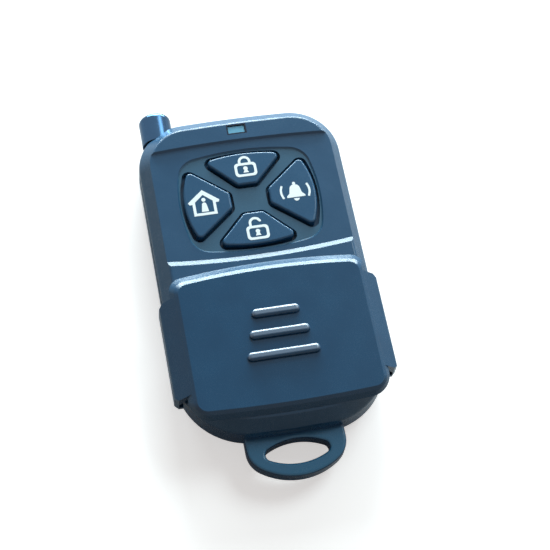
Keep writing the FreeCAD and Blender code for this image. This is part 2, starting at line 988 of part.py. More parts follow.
def back_shell():
    body = new_body("back_shell")
    widest = widest_outline()
    inset = size("back_inset")
    parting = parting_height()
    back = new_sketch(body, "back", 0)
    draw_outline(back, widest.inset(inset, inset, inset))
    shoulder = new_sketch(body, "shoulder", size("back_rise"))
    draw_outline(shoulder, widest)
    loft(body, "hull", back, shoulder)
    skirt = new_sketch(body, "skirt", size("back_rise"))
    draw_outline(skirt, widest)
    pad(skirt, parting - size("back_rise"))
    round_edges(body, "back_edge", size("back_edge"), lambda edge, box: lies_at(box, as_size(0)))
    add_lug(body)
    cavity = new_sketch(body, "cavity", parting)
    draw_outline(cavity, inner_outline())
    pocket(cavity, parting - size("floor_wall"))
    hold_board(body)
    hold_battery(body)
    for index, (x, y) in enumerate(screw_places()):
        stretch_cylinder(body, f"boss_{index}", (x, y, size("floor_wall") - size("root")),
                         size("screw_boss"), parting - size("floor_wall") + size("root"))
        stretch_cylinder(body, f"clearance_{index}", (x, y, 0),
                         size("screw_radius") + size("screw_clearance"),
                         parting + size("short_overrun"), cut=True)
        stretch_cylinder(body, f"counterbore_{index}", (x, y, 0),
                         size("screw_head") + size("screw_clearance"), screw_shelf(), cut=True)
    hold_collar(body, size("floor_wall") - size("root"), parting)
    cut_antenna_bore(body)
    return body


def add_lug(body):
    """A D-shaped loop flush with the parting face, with an oval hole for a key ring."""
    base = parting_height() - size("lug_thickness")
    corner = size("lug_corner")
    root = -size("body_end") + size("end_corner")
    end = -size("body_end")
    plate = new_sketch(body, "lug", base)
    draw_outline(plate, Outline(size("lug_half"), root, end - size("lug_reach"), corner, corner,
                                size("lug_crown"), size("lug_crown")))
    pad(plate, size("lug_thickness"))
    hole = new_sketch(body, "lug_hole", parting_height())
    half = size("lug_hole_half")
    rise = size("lug_hole_rise")
    tip = size("lug_hole_end")
    crown = (half * half + rise * rise - half * tip * 2) / ((rise - tip) * 2)
    draw_oval(hole, half, tip, crown, rise, end - size("lug_hole_reach"))
    pocket(hole, size("lug_thickness"))
    top = parting_height()
    limit = (end - size("lug_rim_start")).value

    def is_lug_rim(edge, box):
        flat = lies_at(box, top) or lies_at(box, base)
        return flat and box.YMax < limit

    round_edges(body, "lug_rim", size("lug_edge"), is_lug_rim)


def draw_oval(sketch, half, end_radius, crown_radius, rise, middle):
    """An oval of two end arcs and two crown arcs that meet smoothly."""
    reach = half - end_radius
    drop = crown_radius - rise
    turn = math.atan2(drop.value, reach.value)
    first = sketch.GeometryCount
    edges = (
        (reach, middle, end_radius, -turn, turn),
        (0, middle - drop, crown_radius, turn, math.pi - turn),
        (-reach, middle, end_radius, math.pi - turn, math.pi + turn),
        (0, middle + drop, crown_radius, math.pi + turn, -turn),
    )
    for x, y, radius, start, end in edges:
        sketch.addGeometry(arc_edge(spot(x, y), radius.value, start, end), False)
    join_smoothly(sketch, first, len(edges))
    right, upper, left, lower = range(first, first + 4)
    fix_point(sketch, right, CENTRE, reach, middle)
    fix_radius(sketch, right, end_radius)
    fix_point(sketch, left, CENTRE, -reach, middle)
    fix_radius(sketch, left, end_radius)
    fix_radius(sketch, upper, crown_radius)
    fix_radius(sketch, lower, crown_radius)


def hold_board(body):
    """Four posts that carry the circuit board."""
    radius = size("post_radius")
    across = board_half() - radius * 2
    for index, (sign, y) in enumerate(((1, size("board_top_corner")), (-1, size("board_top_corner")),
                                       (1, radius * 2 - board_end()),
                                       (-1, radius * 2 - board_end()))):
        stretch_cylinder(body, f"post_{index}", (across * sign, y, size("floor_wall") - size("root")),
                         radius, board_back() - size("floor_wall") + size("root"))


def hold_battery(body):
    """Two ribs under the battery, hollowed to its radius."""
    reach = size("battery_radius")
    middle = battery_middle()
    floor = size("floor_wall") - size("root")
    half_wall = size("cradle_wall") / 2
    top = battery_height() - size("cradle_drop")
    for side in (1, -1):
        x = size("cradle_reach") * side
        stretch_block(body, f"cradle_{side + 1}", (x - half_wall, -middle - reach, floor),
                      (x + half_wall, reach - middle, top))
    stretch_cylinder(body, "cradle_hollow",
                     (-battery_half(), -battery_middle(), battery_height()),
                     reach + size("battery_lift"), size("battery_body"), "x", cut=True)


# Slide cover

def cover_outline(share, run):
    """The cover's outline at a share of its slopes' height, moved in by a further run."""
    lead_corner = size("cover_lead_corner")
    end_corner = size("cover_end_corner")
    return Outline(
        cover_half() - size("cover_side_slope") * share - run,
        -size("cover_lead") - size("cover_lead_slope") * share - run,
        size("cover_end_slope") * share + run - cover_end(),
        lead_corner - (lead_corner - size("cover_face_lead_corner")) * share,
        end_corner - (end_corner - size("cover_face_end_corner")) * share,
        size("cover_lead_radius"), size("cover_end_radius"))


def slide_cover():
    body = new_body("slide_cover")
    drop = size("cover_edge_drop")
    share = as_size(1) - drop / size("cover_thickness")
    base = cover_outline(as_size(0), as_size(0))
    lower = new_sketch(body, "base", cover_base())
    draw_outline(lower, base)
    middle = new_sketch(body, "edge_foot", cover_face() - drop)
    draw_outline(middle, cover_outline(share, as_size(0)))
    loft(body, "plate", lower, middle)
    edge_foot = new_sketch(body, "edge_start", cover_face() - drop)
    draw_outline(edge_foot, cover_outline(share, as_size(0)))
    face = new_sketch(body, "face", cover_face())
    draw_outline(face, cover_outline(as_size(1), size("cover_edge_run")))
    loft(body, "edge", edge_foot, face)
    add_wings(body)
    runner = size("cover_runner")
    relief = new_sketch(body, "relief", cover_base())
    corner = size("cover_face_lead_corner")
    draw_outline(relief, Outline(base.half - runner, base.top - runner, base.end + runner, corner,
                                 corner, base.top_crown, base.end_crown))
    pocket(relief, size("cover_relief"), upward=True)
    add_grip_ribs(body)
    return body


def add_wings(body):
    """Side walls that wrap the flanks and hook into the rail grooves."""
    outer = wing_half()
    inner = outer - size("wing_wall")
    hook = half_width() - size("rail_depth") + size("rail_clearance")
    foot = parting_height() + size("rail_clearance")
    hook_top = rail_top() - size("rail_clearance")
    drop = size("wing_shoulder")
    shoulder_top = cover_face() - drop
    shoulder_half = (cover_half() - size("cover_side_slope")
                     + size("cover_side_slope") * drop / size("cover_thickness"))
    root = cover_half() - size("wing_root")
    slope_foot = flank_height()
    inner_top = half_width() - size("face_inset_side") + size("rail_clearance")
    for side in (1, -1):
        corners = [
            (root, cover_base()), (root, shoulder_top), (shoulder_half, shoulder_top),
            (outer, shoulder_top - (outer - shoulder_half)), (outer, foot), (hook, foot),
            (hook, hook_top), (inner, hook_top), (inner, slope_foot), (inner_top, cover_base()),
        ]
        name = "right_wing" if side == 1 else "left_wing"
        section = new_sketch(body, name, size("wing_lead"), TO_XZ)
        draw_polygon(section, [(x * side, z) for x, z in corners])
        pad(section, size("wing_end") - size("wing_lead"))
    bend = shoulder_top - (outer - shoulder_half)

    def is_wing_bend(edge, box):
        reach = max(abs(box.XMin), abs(box.XMax))
        return lies_at(box, bend) and abs(reach - outer.value) < NEAR

    round_edges(body, "wing_bends", size("wing_edge"), is_wing_bend)
    splay = size("wing_splay")
    beyond = outer + size("short_overrun")
    start = outer - splay
    for side in (1, -1):
        for name, y, sign in (("lead", -size("wing_lead"), -1), ("end", -size("wing_end"), 1)):
            corner = new_sketch(body, f"{name}_splay_{side + 1}", cover_face())
            draw_polygon(corner, [(start * side, y), (beyond * side, y),
                                  (beyond * side, y + (beyond - start) * sign)])
            pocket(corner, cover_face() - foot + size("short_overrun"))


def add_grip_ribs(body):
    """Three rounded bars that lengthen towards the key-ring end."""
    half_wide = size("rib_width") / 2
    for index in range(GRIP_RIBS):
        y = -size("rib_first") - size("rib_pitch") * index
        reach = size("rib_half_length") + size("rib_growth") * index - half_wide
        rib = new_sketch(body, f"rib_{index}", cover_face())
        draw_slot(rib, reach, half_wide, y)
        pad(rib, size("rib_height"))
    crest = cover_face() + size("rib_height")
    round_edges(body, "rib_edges", size("rib_edge"), lambda edge, box: lies_at(box, crest))


def draw_slot(sketch, reach, radius, middle):
    first = sketch.GeometryCount
    upper = spot(reach, middle + radius), spot(-reach, middle + radius)
    lower = spot(-reach, middle - radius), spot(reach, middle - radius)
    quarter = math.pi / 2
    sketch.addGeometry(Part.LineSegment(*upper), False)
    sketch.addGeometry(arc_edge(spot(-reach, middle), radius.value, quarter, 3 * quarter), False)
    sketch.addGeometry(Part.LineSegment(*lower), False)
    sketch.addGeometry(arc_edge(spot(reach, middle), radius.value, -quarter, quarter), False)
    join_smoothly(sketch, first, 4)
    fix_point(sketch, first + 1, CENTRE, -reach, middle)
    fix_point(sketch, first + 3, CENTRE, reach, middle)
    fix_radius(sketch, first + 1, radius)
    sketch.addConstraint(Sketcher.Constraint("Horizontal", first))


# Keys

def key(name, direction):
    body = new_body(f"{name}_key")
    fan = fan_of(direction)
    lip = new_sketch(body, "lip", lip_base())
    draw_fan(lip, fan.inset(-size("key_lip")), direction)
    pad(lip, size("key_lip_thickness"))
    stem = new_sketch(body, "stem", lip_base())
    draw_fan(stem, fan.inset(size("key_gap")), direction)
    top = pan_height() + size("key_proud")
    pad(stem, top - lip_base())
    corner = size("opening_corner") - size("key_gap")
    round_edges(body, "corners", corner, lambda edge, box: is_upright(box))
    round_edges(body, "edge", size("key_edge"), lambda edge, box: lies_at(box, top))
    x, y = switch_middle(direction)
    stretch_cylinder(body, "pusher", (x, y, plunger_top()), size("key_pusher_radius"),
                     size("key_pusher") + size("root"))
    return body


# Light guide and light

def led_window():
    body = new_body("led_window")
    half_x = size("window_length") / 2
    half_y = size("window_width") / 2
    middle = window_middle()
    lip = size("window_lip")
    stretch_block(body, "guide", (-half_x, middle - half_y, roof_height()),
                  (half_x, middle + half_y, face_height() - size("window_sunk")))
    stretch_block(body, "lip",
                  (-half_x - lip, middle - half_y - lip, roof_height() - size("window_lip_depth")),
                  (half_x + lip, middle + half_y + lip, roof_height()))
    return body


def indicator_led():
    body = new_body("indicator_led")
    base = (as_size(0), window_middle(), board_face())
    radius = size("led_radius")
    stretch_cylinder(body, "rim", base, radius + size("led_rim"), size("led_rim_height"))
    stretch_cylinder(body, "lens", base, radius, size("led_height"))
    top = board_face() + size("led_height")
    round_edges(body, "dome", size("led_dome"), lambda edge, box: lies_at(box, top))
    return body


# Circuit board and what is soldered to it

def circuit_board():
    """Board with a corner cut away for the antenna's collar and its rib."""
    body = new_body("circuit_board")
    outline = new_sketch(body, "outline", board_back())
    draw_outline(outline, Outline(board_half(), board_top(), -board_end(),
                                  size("board_top_corner"), size("board_end_corner"),
                                  size("top_crown"), size("board_end_crown")))
    pad(outline, size("board_thickness"))
    notch_x = antenna_x() + size("collar_radius") + size("clip_wall") + size("board_clearance")
    notch_y = antenna_seat() - size("collar_length") - size("board_clearance")
    stretch_block(body, "collar_notch", (-half_width(), notch_y, board_back()),
                  (notch_x, size("body_top"), board_face()), cut=True)
    return body


def tact_switch(name, direction):
    """Square housing with a round well for its plunger and four flat legs."""
    body = new_body(f"{name}_switch")
    x, y = switch_middle(direction)
    half = size("switch_side") / 2
    low = board_face()
    top = low + size("switch_body")
    stretch_block(body, "housing", (x - half, y - half, low), (x + half, y + half, top))
    reach = half + size("switch_leg_length")
    row = half - size("switch_leg")
    for index, shift in enumerate((row, -row)):
        leg = size("switch_leg") / 2
        stretch_block(body, f"leg_{index}", (x - reach, y + shift - leg, low),
                      (x + reach, y + shift + leg, low + size("switch_leg_sheet")))
    well = size("plunger_radius") + size("plunger_clearance")
    stretch_cylinder(body, "well", (x, y, top - size("switch_well")), well,
                     size("switch_well"), cut=True)
    return body


def switch_plunger(name, direction):
    body = new_body(f"{name}_plunger")
    x, y = switch_middle(direction)
    foot = board_face() + size("switch_body") - size("plunger_depth")
    stretch_cylinder(body, "stem", (x, y, foot), size("plunger_radius"), plunger_top() - foot)
    return body


def encoder_chip():
    """Small-outline package with a row of gull-wing pins along each long side."""
    body = new_body("encoder_chip")
    x = size("encoder_x")
    y = size("encoder_y")
    half_x = size("encoder_length") / 2
    half_y = size("encoder_width") / 2
    low = board_face() + size("encoder_lift")
    stretch_block(body, "package", (x - half_x, y - half_y, low),
                  (x + half_x, y + half_y, low + size("encoder_height")))
    pin = size("encoder_pin") / 2
    reach = half_y + size("encoder_pin_reach")
    first = -size("encoder_pin_pitch") * (ENCODER_PINS_A_SIDE - 1) / 2
    for index in range(ENCODER_PINS_A_SIDE):
        pin_x = x + first + size("encoder_pin_pitch") * index
        stretch_block(body, f"pins_{index}", (pin_x - pin, y - reach, board_face()),
                      (pin_x + pin, y + reach, low + size("encoder_lift")))
    return body


def saw_resonator():
    body = new_body("saw_resonator")
    base = (board_half() - size("saw_from_side"), size("saw_y"), board_face())
    radius = size("saw_radius")
    stretch_cylinder(body, "can", base, radius, size("saw_height"))
    top = board_face() + size("saw_height")
    round_edges(body, "can_edge", size("saw_rim"), lambda edge, box: lies_at(box, top))
    stretch_cylinder(body, "rim", base, radius + size("saw_rim"), size("saw_rim_height"))
    return body


def rf_transistor():
    body = new_body("rf_transistor")
    x = size("transistor_x")
    y = size("transistor_y")
    half_x = size("transistor_length") / 2
    half_y = size("transistor_width") / 2
    low = board_face()
    leg = size("encoder_pin") / 2
    sheet_top = low + size("encoder_lift")
    stretch_block(body, "package", (x - half_x, y - half_y, low),
                  (x + half_x, y + half_y, low + size("transistor_height")))
    reach = half_y + size("transistor_width") / 2
    for name, shift, low_y, high_y in (("collector", as_size(0), y, y + reach),
                                       ("base", -half_x / 2, y - reach, y),
                                       ("emitter", half_x / 2, y - reach, y)):
        stretch_block(body, name, (x + shift - leg, low_y, low),
                      (x + shift + leg, high_y, sheet_top))
    return body


def choke():
    """Axial choke that stands on its two leads beside the lock switch."""
    body = new_body("choke")
    x = board_half() - size("choke_from_side")
    y = size("choke_y")
    radius = size("choke_radius")
    half = size("choke_length") / 2
    lead = size("choke_lead")
    axis_z = board_face() + radius + lead
    stretch_cylinder(body, "core", (x, y - half, axis_z), radius, half * 2, "y")
    for name, end in (("front", y - half + lead * 2), ("rear", y + half - lead * 2)):
        stretch_cylinder(body, f"{name}_lead", (x, end, board_face()), lead, radius + lead)
    return body


def chip_resistors():
    """Flat chips in a row, as separate solids of one piece."""
    chips = []
    half_x = size("resistor_width") / 2
    half_y = size("resistor_length") / 2
    first = board_half() - size("resistor_from_side")
    y = size("resistor_y")
    for index in range(CHIP_RESISTORS):
        body = new_body(f"chip_resistor_{index}")
        x = first + size("resistor_pitch") * index
        stretch_block(body, "chip", (x - half_x, y - half_y, board_face()),
                      (x + half_x, y + half_y, board_face() + size("resistor_height")))
        chips.append(body)
    return group("chip_resistors", chips)


# Battery and its contacts

def battery():
    body = new_body("battery")
    half = battery_half()
    y = -battery_middle()
    stretch_cylinder(body, "can", (-half, y, battery_height()), size("battery_radius"),
                     size("battery_body"), "x")
    stretch_cylinder(body, "button", (half - size("root"), y, battery_height()),
                     size("battery_button_radius"), size("battery_button") + size("root"), "x")
    return body


def positive_contact():
    """Flat plate that the battery's button presses on."""
    body = new_body("positive_contact")
    x = battery_half() + size("battery_button")
    half_y = size("contact_width") / 2
    y = -battery_middle()
    stretch_block(body, "plate", (x, y - half_y, size("floor_wall")),
                  (x + size("contact_sheet"), y + half_y,
                   size("floor_wall") + size("contact_height")))
    return body


def negative_contact():
    """Folded leaf whose arm leans on the flat end of the battery."""
    body = new_body("negative_contact")
    near = -battery_half()
    far = near - size("contact_spring_gap")
    sheet_wall = size("contact_sheet")
    low = size("floor_wall")
    top = low + size("contact_height")
    touch = battery_height()
    section = new_sketch(body, "leaf", battery_middle() - size("contact_width") / 2, TO_XZ)
    draw_polygon(section, [
        (far, low), (far + sheet_wall, low), (far + sheet_wall, top - sheet_wall),
        (near - sheet_wall, touch + sheet_wall), (near - sheet_wall, touch - sheet_wall),
        (near, touch - sheet_wall), (near, touch + sheet_wall),
        (far + sheet_wall * 2, top), (far, top),
    ])
    pad(section, size("contact_width"))
    return body


# Telescopic antenna

def stage_radius(stage):
    """Outer radius of a stage, counted from the base tube inwards."""
    step = size("tube_wall") + size("tube_clearance")
    return size("antenna_tube_radius") - step * stage


def stage_span(stage):
    step = size("antenna_foot_gap") * stage
    return step - size("antenna_foot"), antenna_seat()


def antenna_tube(name, stage):
    body = new_body(name)
    low, high = stage_span(stage)
    outer = stage_radius(stage)
    section = new_sketch(body, "section", -low, TO_XZ)
    draw_circle(section, antenna_x(), parting_height(), outer)
    draw_circle(section, antenna_x(), parting_height(), outer - size("tube_wall"))
    pad(section, high - low, reverse=True)
    return body


def cap_base():
    return antenna_seat() + size("antenna_cap_gap")


def antenna_rod():
    body = new_body("antenna_rod")
    low = stage_span(ROD_STAGE)[0]
    reach = cap_base() + size("antenna_cap_length") / 2
    stretch_cylinder(body, "rod", (antenna_x(), low, parting_height()),
                     stage_radius(ROD_STAGE), reach - low, "y")
    return body


def antenna_cap():
    body = new_body("antenna_cap")
    base = (antenna_x(), cap_base(), parting_height())
    length = size("antenna_cap_length")
    stretch_cylinder(body, "head", base, size("antenna_cap_radius"), length, "y")
    top = cap_base() + length
    round_edges(body, "dome", size("antenna_cap_dome"),
                lambda edge, box: box.YMin > top.value - NEAR)
    stretch_cylinder(body, "socket", base, stage_radius(ROD_STAGE), length / 2, "y", cut=True)
    return body


def antenna_collar():
    body = new_body("antenna_collar")
    section = new_sketch(body, "section", -antenna_seat(), TO_XZ)
    draw_circle(section, antenna_x(), parting_height(), size("collar_radius"))
    draw_circle(section, antenna_x(), parting_height(), size("antenna_tube_radius"))
    pad(section, size("collar_length"))
    return body


def antenna_clip():
    """Saddle over the base tube with a foot on each side, soldered to the board."""
    body = new_body("antenna_clip")
    x = antenna_x()
    y = size("clip_middle") - size("clip_length") / 2
    outer = size("antenna_tube_radius")
    wall = outer + size("clip_wall")
    foot = size("clip_foot")
    axis_z = parting_height()
    length = size("clip_length")
    low = board_face()
    stretch_cylinder(body, "saddle", (x, y, axis_z), wall, length, "y")
    stretch_block(body, "legs", (x - wall, y, low), (x + wall, y + length, axis_z))
    stretch_block(body, "foot", (x, y, low), (x + wall + foot, y + length, low + size("clip_wall")))
    stretch_cylinder(body, "bore", (x, y, axis_z), outer, length, "y", cut=True)
    stretch_block(body, "mouth", (x - outer, y, low - size("short_overrun")),
                  (x + outer, y + length, axis_z), cut=True)
    return body


# Screws

def shell_screws():
    """Identical self-tapping screws, put in from the back."""
    screws = []
    slot = size("screw_slot") / 2
    radius = size("screw_head")
    tip = roof_height() - size("screw_tip_gap")
    for index, (x, y) in enumerate(screw_places()):
        body = new_body(f"shell_screw_{index}")
        head = size("screw_sunk")
        stretch_cylinder(body, "head", (x, y, head), radius, size("screw_head_height"))
        stretch_cylinder(body, "shank", (x, y, screw_shelf() - size("root")), size("screw_radius"),
                         tip - screw_shelf() + size("root"))
        arm = size("screw_slot_reach")
        depth = head + size("screw_slot_depth")
        stretch_block(body, "slot_across", (x - arm, y - slot, as_size(0)),
                      (x + arm, y + slot, depth), cut=True)
        stretch_block(body, "slot_along", (x - slot, y - arm, as_size(0)),
                      (x + slot, y + arm, depth), cut=True)
        screws.append(body)
    return group("shell_screws", screws)


def group(label, bodies):
    compound = document.addObject("Part::Compound", label)
    compound.Label = label
    compound.Links = bodies
    return compound


def make_pieces():
    pieces = [front_shell(), back_shell(), slide_cover(), led_window(), indicator_led()]
    for name, direction in KEY_DIRECTIONS.items():
        pieces += [key(name, direction), tact_switch(name, direction),
                   switch_plunger(name, direction)]
    pieces += [circuit_board(), encoder_chip(), saw_resonator(), rf_transistor(), choke(),
               chip_resistors(), battery(), positive_contact(), negative_contact()]
    pieces += [antenna_tube(name, stage) for stage, name in enumerate(TUBES)]
    pieces += [antenna_rod(), antenna_cap(), antenna_collar(), antenna_clip(), shell_screws()]
    return pieces


def move_to_frame(body):
    shift = (size("body_end") - size("body_top")) / 2
    body.setExpression("Placement.Base.y", shift.formula)


def build():
    fill_sheet()
    nodes = make_pieces()
    for body in document.findObjects("PartDesign::Body"):
        move_to_frame(body)
    document.recompute()
    for thing in document.Objects:
        if "Invalid" in thing.State or "Error" in thing.State:
            raise RuntimeError(f"{thing.Label} did not build: {thing.State}")
    os.makedirs("parts", exist_ok=True)
    for node in nodes:
        shape = node.Shape
        if shape.isNull() or not shape.isValid():
            raise RuntimeError(f"{node.Label} has no valid shape")
        shape.exportStep(f"parts/{node.Label}.step")
        print(node.Label, "solids", len(shape.Solids), "volume", round(shape.Volume, 1))


build()
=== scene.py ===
# %% [markdown]
# # A pocket alarm remote
#
# The remote is a small blue-slate case with four fan-shaped keys, a cover that slides over
# them, and a telescopic antenna in one corner. The CAD model already holds every solid piece
# in metres. This lesson gives those pieces their finishes, adds what is printed or soldered
# on them, and lights the result.

import math

import bpy
from mathutils import Matrix, Vector


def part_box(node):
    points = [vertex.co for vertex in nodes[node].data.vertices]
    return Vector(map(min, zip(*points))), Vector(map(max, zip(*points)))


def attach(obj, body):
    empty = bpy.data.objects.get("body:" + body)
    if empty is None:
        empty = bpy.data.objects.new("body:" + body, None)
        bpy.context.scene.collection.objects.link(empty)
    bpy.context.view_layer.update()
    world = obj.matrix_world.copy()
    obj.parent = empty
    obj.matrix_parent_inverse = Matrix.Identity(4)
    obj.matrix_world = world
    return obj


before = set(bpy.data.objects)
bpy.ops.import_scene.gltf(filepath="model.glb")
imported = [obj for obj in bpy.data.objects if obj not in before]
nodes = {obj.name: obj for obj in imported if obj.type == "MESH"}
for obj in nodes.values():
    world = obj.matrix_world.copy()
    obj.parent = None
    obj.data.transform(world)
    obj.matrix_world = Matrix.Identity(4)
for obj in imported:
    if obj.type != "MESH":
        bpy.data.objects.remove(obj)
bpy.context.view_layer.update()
MM = 0.001


print("pieces from CAD:", len(nodes))


# %% [markdown]
# ## Camera
#
# The photograph was taken from above the key-ring end, a little to the left, with a fairly
# long lens. A camera can be turned by three angles, but those are hard to read. A position
# and two directions are clearer: where it looks, and which way is up in the picture. The
# third direction is their cross product.

# %% Camera
PHOTO_SIDE = 550
FOCAL_PIXELS = 1600
SENSOR_MM = 36.0
NEAREST_SEEN = 10 * MM
CAMERA_PLACE = Vector((-39.26, -120.80, 269.16)) * MM
LOOKS_ALONG = Vector((0.1423, 0.4095, -0.9012)).normalized()
PICTURE_UP = Vector((0.1399, 0.8930, 0.4278)).normalized()


def aim(thing, place, along, up):
    """Put an object at a place, with its -Z axis along a direction."""
    right = along.cross(up).normalized()
    level_up = right.cross(along)
    turn = Matrix((right, level_up, -along)).transposed().to_4x4()
    thing.matrix_world = Matrix.Translation(place) @ turn


camera_data = bpy.data.cameras.new("camera")
camera_data.sensor_width = SENSOR_MM
camera_data.lens = FOCAL_PIXELS / PHOTO_SIDE * SENSOR_MM
camera_data.clip_start = NEAREST_SEEN
camera = bpy.data.objects.new("camera", camera_data)
bpy.context.scene.collection.objects.link(camera)
aim(camera, CAMERA_PLACE, LOOKS_ALONG, PICTURE_UP)
bpy.context.scene.camera = camera
print("lens in mm:", round(camera_data.lens, 1))


# %% [markdown]
# ## Writing shader maths as sums
#
# A material is a graph of nodes. It can be drawn by hand in the shader editor or linked in
# code node by node, but a long chain of Math nodes is hard to read either way. The class
# Wire stands for one output of a node. A sum or product written on a Wire adds the Math node
# for it, so that a mask reads as `1 - edge * wear`.

# %% Wire
class Wire:
    """One output of a node, on which sums are written as on a number."""

    def __init__(self, graph, socket):
        self.graph = graph
        self.socket = socket

    def math(self, operation, *numbers):
        """A Math node, with wires or plain numbers in its sockets."""
        return self.graph.add("Math", {"operation": operation}, dict(enumerate(numbers)))

    def __add__(self, other):
        return self.math("ADD", self, other)

    __radd__ = __add__

    def __sub__(self, other):
        return self.math("SUBTRACT", self, other)

    def __rsub__(self, other):
        return self.math("SUBTRACT", other, self)

    def __mul__(self, other):
        return self.math("MULTIPLY", self, other)

    __rmul__ = __mul__

    def __truediv__(self, other):
        return self.math("DIVIDE", self, other)

    def __pow__(self, other):
        return self.math("POWER", self, other)

    def __abs__(self):
        return self.math("ABSOLUTE", self)

    def fraction(self):
        """What is left after the whole number, so that a pattern repeats."""
        return self.math("FRACT", self)

    def wrapped(self, low, high):
        """The number moved by whole widths of a range until it lies inside it."""
        return self.math("WRAP", self, high, low)

    def below(self, edge, softness):
        """A mask that is 1 below an edge and fades to 0 over the softness."""
        fade = {"interpolation_type": "SMOOTHSTEP"}
        limits = {"Value": self, "From Min": edge, "From Max": edge + softness,
                  "To Min": 1.0, "To Max": 0.0}
        return self.graph.add("MapRange", fade, limits)


# %% [markdown]
# ## Making every other node
#
# A node that isn't a sum comes from one method, `add`, which takes the node's type, its
# settings and what goes into its sockets, so that no kind of node needs code of its own. The
# class Graph holds that method and serves for the world's light as well as for materials.
# Finish is the Graph of one material. It starts with a Principled shader, and has short names
# for what these finishes use most: the point's place, noise, a blend of colours and a relief.

# %% Graph
class Graph:
    """A tree of shader nodes that are added one by one."""

    def __init__(self, tree):
        self.nodes = tree.nodes
        self.links = tree.links

    def put(self, socket, amount):
        """Link a wire to a socket, or set its value."""
        if isinstance(amount, Wire):
            self.links.new(amount.socket, socket)
        else:
            socket.default_value = amount

    def add(self, kind, settings, sockets, out=0):
        """A node of a kind, with its settings made first and then its sockets."""
        node = self.nodes.new("ShaderNode" + kind)
        for name, choice in settings.items():
            setattr(node, name, choice)
        for name, amount in sockets.items():
            self.put(node.inputs[name], amount)
        return Wire(self, node.outputs[out])


# %% Finish
class Finish(Graph):
    """A material with one Principled shader."""

    def __init__(self, name, **constants):
        self.material = bpy.data.materials.new(name)
        self.material.use_nodes = True
        super().__init__(self.material.node_tree)
        self.nodes.clear()
        self.shader = self.nodes.new("ShaderNodeBsdfPrincipled")
        output = self.nodes.new("ShaderNodeOutputMaterial")
        self.links.new(self.shader.outputs["BSDF"], output.inputs["Surface"])
        for socket, amount in constants.items():
            self.set(socket.replace("_", " "), amount)

    def set(self, socket, amount):
        """Link a wire to a socket of the Principled shader, or set its value."""
        self.put(self.shader.inputs[socket], amount)

    def place(self):
        """The point's own place on the piece, in metres."""
        return self.add("TexCoord", {}, {}, out="Object")

    def axis(self, letter):
        """How far along X, Y or Z the point lies, in millimetres."""
        return self.add("SeparateXYZ", {}, {0: self.place()}, out=letter) / MM

    def noise(self, grain, detail=2.0, place=None):
        """Cloudy noise from 0 to 1, with grains of a size in metres."""
        sockets = {"Vector": place or self.place(), "Scale": 1 / grain, "Detail": detail}
        return self.add("TexNoise", {}, sockets)

    def blend(self, amount, first, second):
        """A colour between two colours."""
        sockets = {0: amount, 6: first, 7: second}
        return self.add("Mix", {"data_type": "RGBA"}, sockets, out=2)

    def repaint(self, mask, colour):
        """Lay a colour over the base colour where a mask is 1."""
        under = Wire(self, self.shader.inputs["Base Color"].links[0].from_socket)
        self.set("Base Color", self.blend(mask, under, colour))

    def bump(self, height, depth):
        """Turn a height from 0 to 1 into a relief of a depth in metres."""
        self.set("Normal", self.add("Bump", {}, {"Height": height, "Distance": depth}))


# %% Colours and a short report
def paint(red, green, blue):
    """A colour from its red, green and blue, each from 0 to 1."""
    return (red, green, blue, 1.0)


def tell(*finishes):
    """Print the materials' names and how many nodes each has."""
    for finish in finishes:
        print(finish.material.name + ":", len(finish.nodes), "nodes")


# %% [markdown]
# ## Moulded plastic
#
# The case, the cover and the keys are moulded in blue-slate plastic. Up close, such plastic
# has a fine spark-eroded texture from its mould, very slight clouds in its colour, and a sheen
# that is broken up by that texture. A picture of plastic wrapped round the pieces would
# stretch on the slopes. Noise that reads the point's place fits any shape, so fine noise gives
# the texture, coarse noise gives the clouds, and both vary the sheen.

# %% Moulded plastic
SLATE = paint(0.012, 0.058, 0.122)
SLATE_PALE = paint(0.022, 0.079, 0.154)
SHEEN = 0.20
CLOUD_GRAIN = 6 * MM
SPARK_GRAIN = 0.12 * MM
SPARK_DEPTH = 0.006 * MM


def moulded_plastic(name, dark, pale, sheen):
    """Textured moulded plastic with faint clouds in its colour."""
    finish = Finish(name, Specular_IOR_Level=0.3)
    clouds = finish.noise(CLOUD_GRAIN, detail=3.0)
    sparks = finish.noise(SPARK_GRAIN, detail=1.0)
    finish.set("Base Color", finish.blend(clouds, dark, pale))
    finish.set("Roughness", sheen + 0.08 * sparks + 0.05 * clouds)
    finish.bump(sparks, SPARK_DEPTH)
    return finish


housing = moulded_plastic("housing plastic", SLATE, SLATE_PALE, SHEEN)
tell(housing)


# %% [markdown]
# ## The key web, and painted shade round the light window
#
# Between the keys lies a recessed web that is greyer than the rest of the shell. It is also
# painted paler, as painted light that lifts the shade the keys cast into it. Round the light
# window runs a dark ring of painted shade, where the slot's edge lies in shadow. Both lie on
# the one moulding of the front shell, so another material would mean cutting its mesh. A mask
# needs no cut. It is a number that the shader works out from the point's place: 1 where the
# new colour goes, 0 elsewhere. The web is a bulging rounded square, which the sum of two fifth
# powers gives, and it lies deeper than the pan around it. The painted shade is a rectangle a
# little larger than the window.

# %% Web and painted shade round the window
# The web's colour is partly its own greyer tone and partly painted light, paler to lift the
# keys' shade.
WEB_GREY_PAINTED_LIGHT = paint(0.038, 0.105, 0.170)
WEB_HALF = (13.2, 10.5)
WEB_BULGE = 5
WEB_SUNK = 0.6
WEB_FADE = 0.05
KEYS_MIDDLE = 12.65
# Painted shade: a dark ring on the shell that stands in for the shadow at the slot's edge.
SLOT_PAINTED_SHADE = paint(0.003, 0.010, 0.026)
SLOT_SHADE_HALF = (1.82, 1.02)
SLOT_SHADE_FADE = 0.08


def top_of(piece):
    """The height of a CAD piece's highest point, in millimetres."""
    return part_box(piece)[1].z / MM


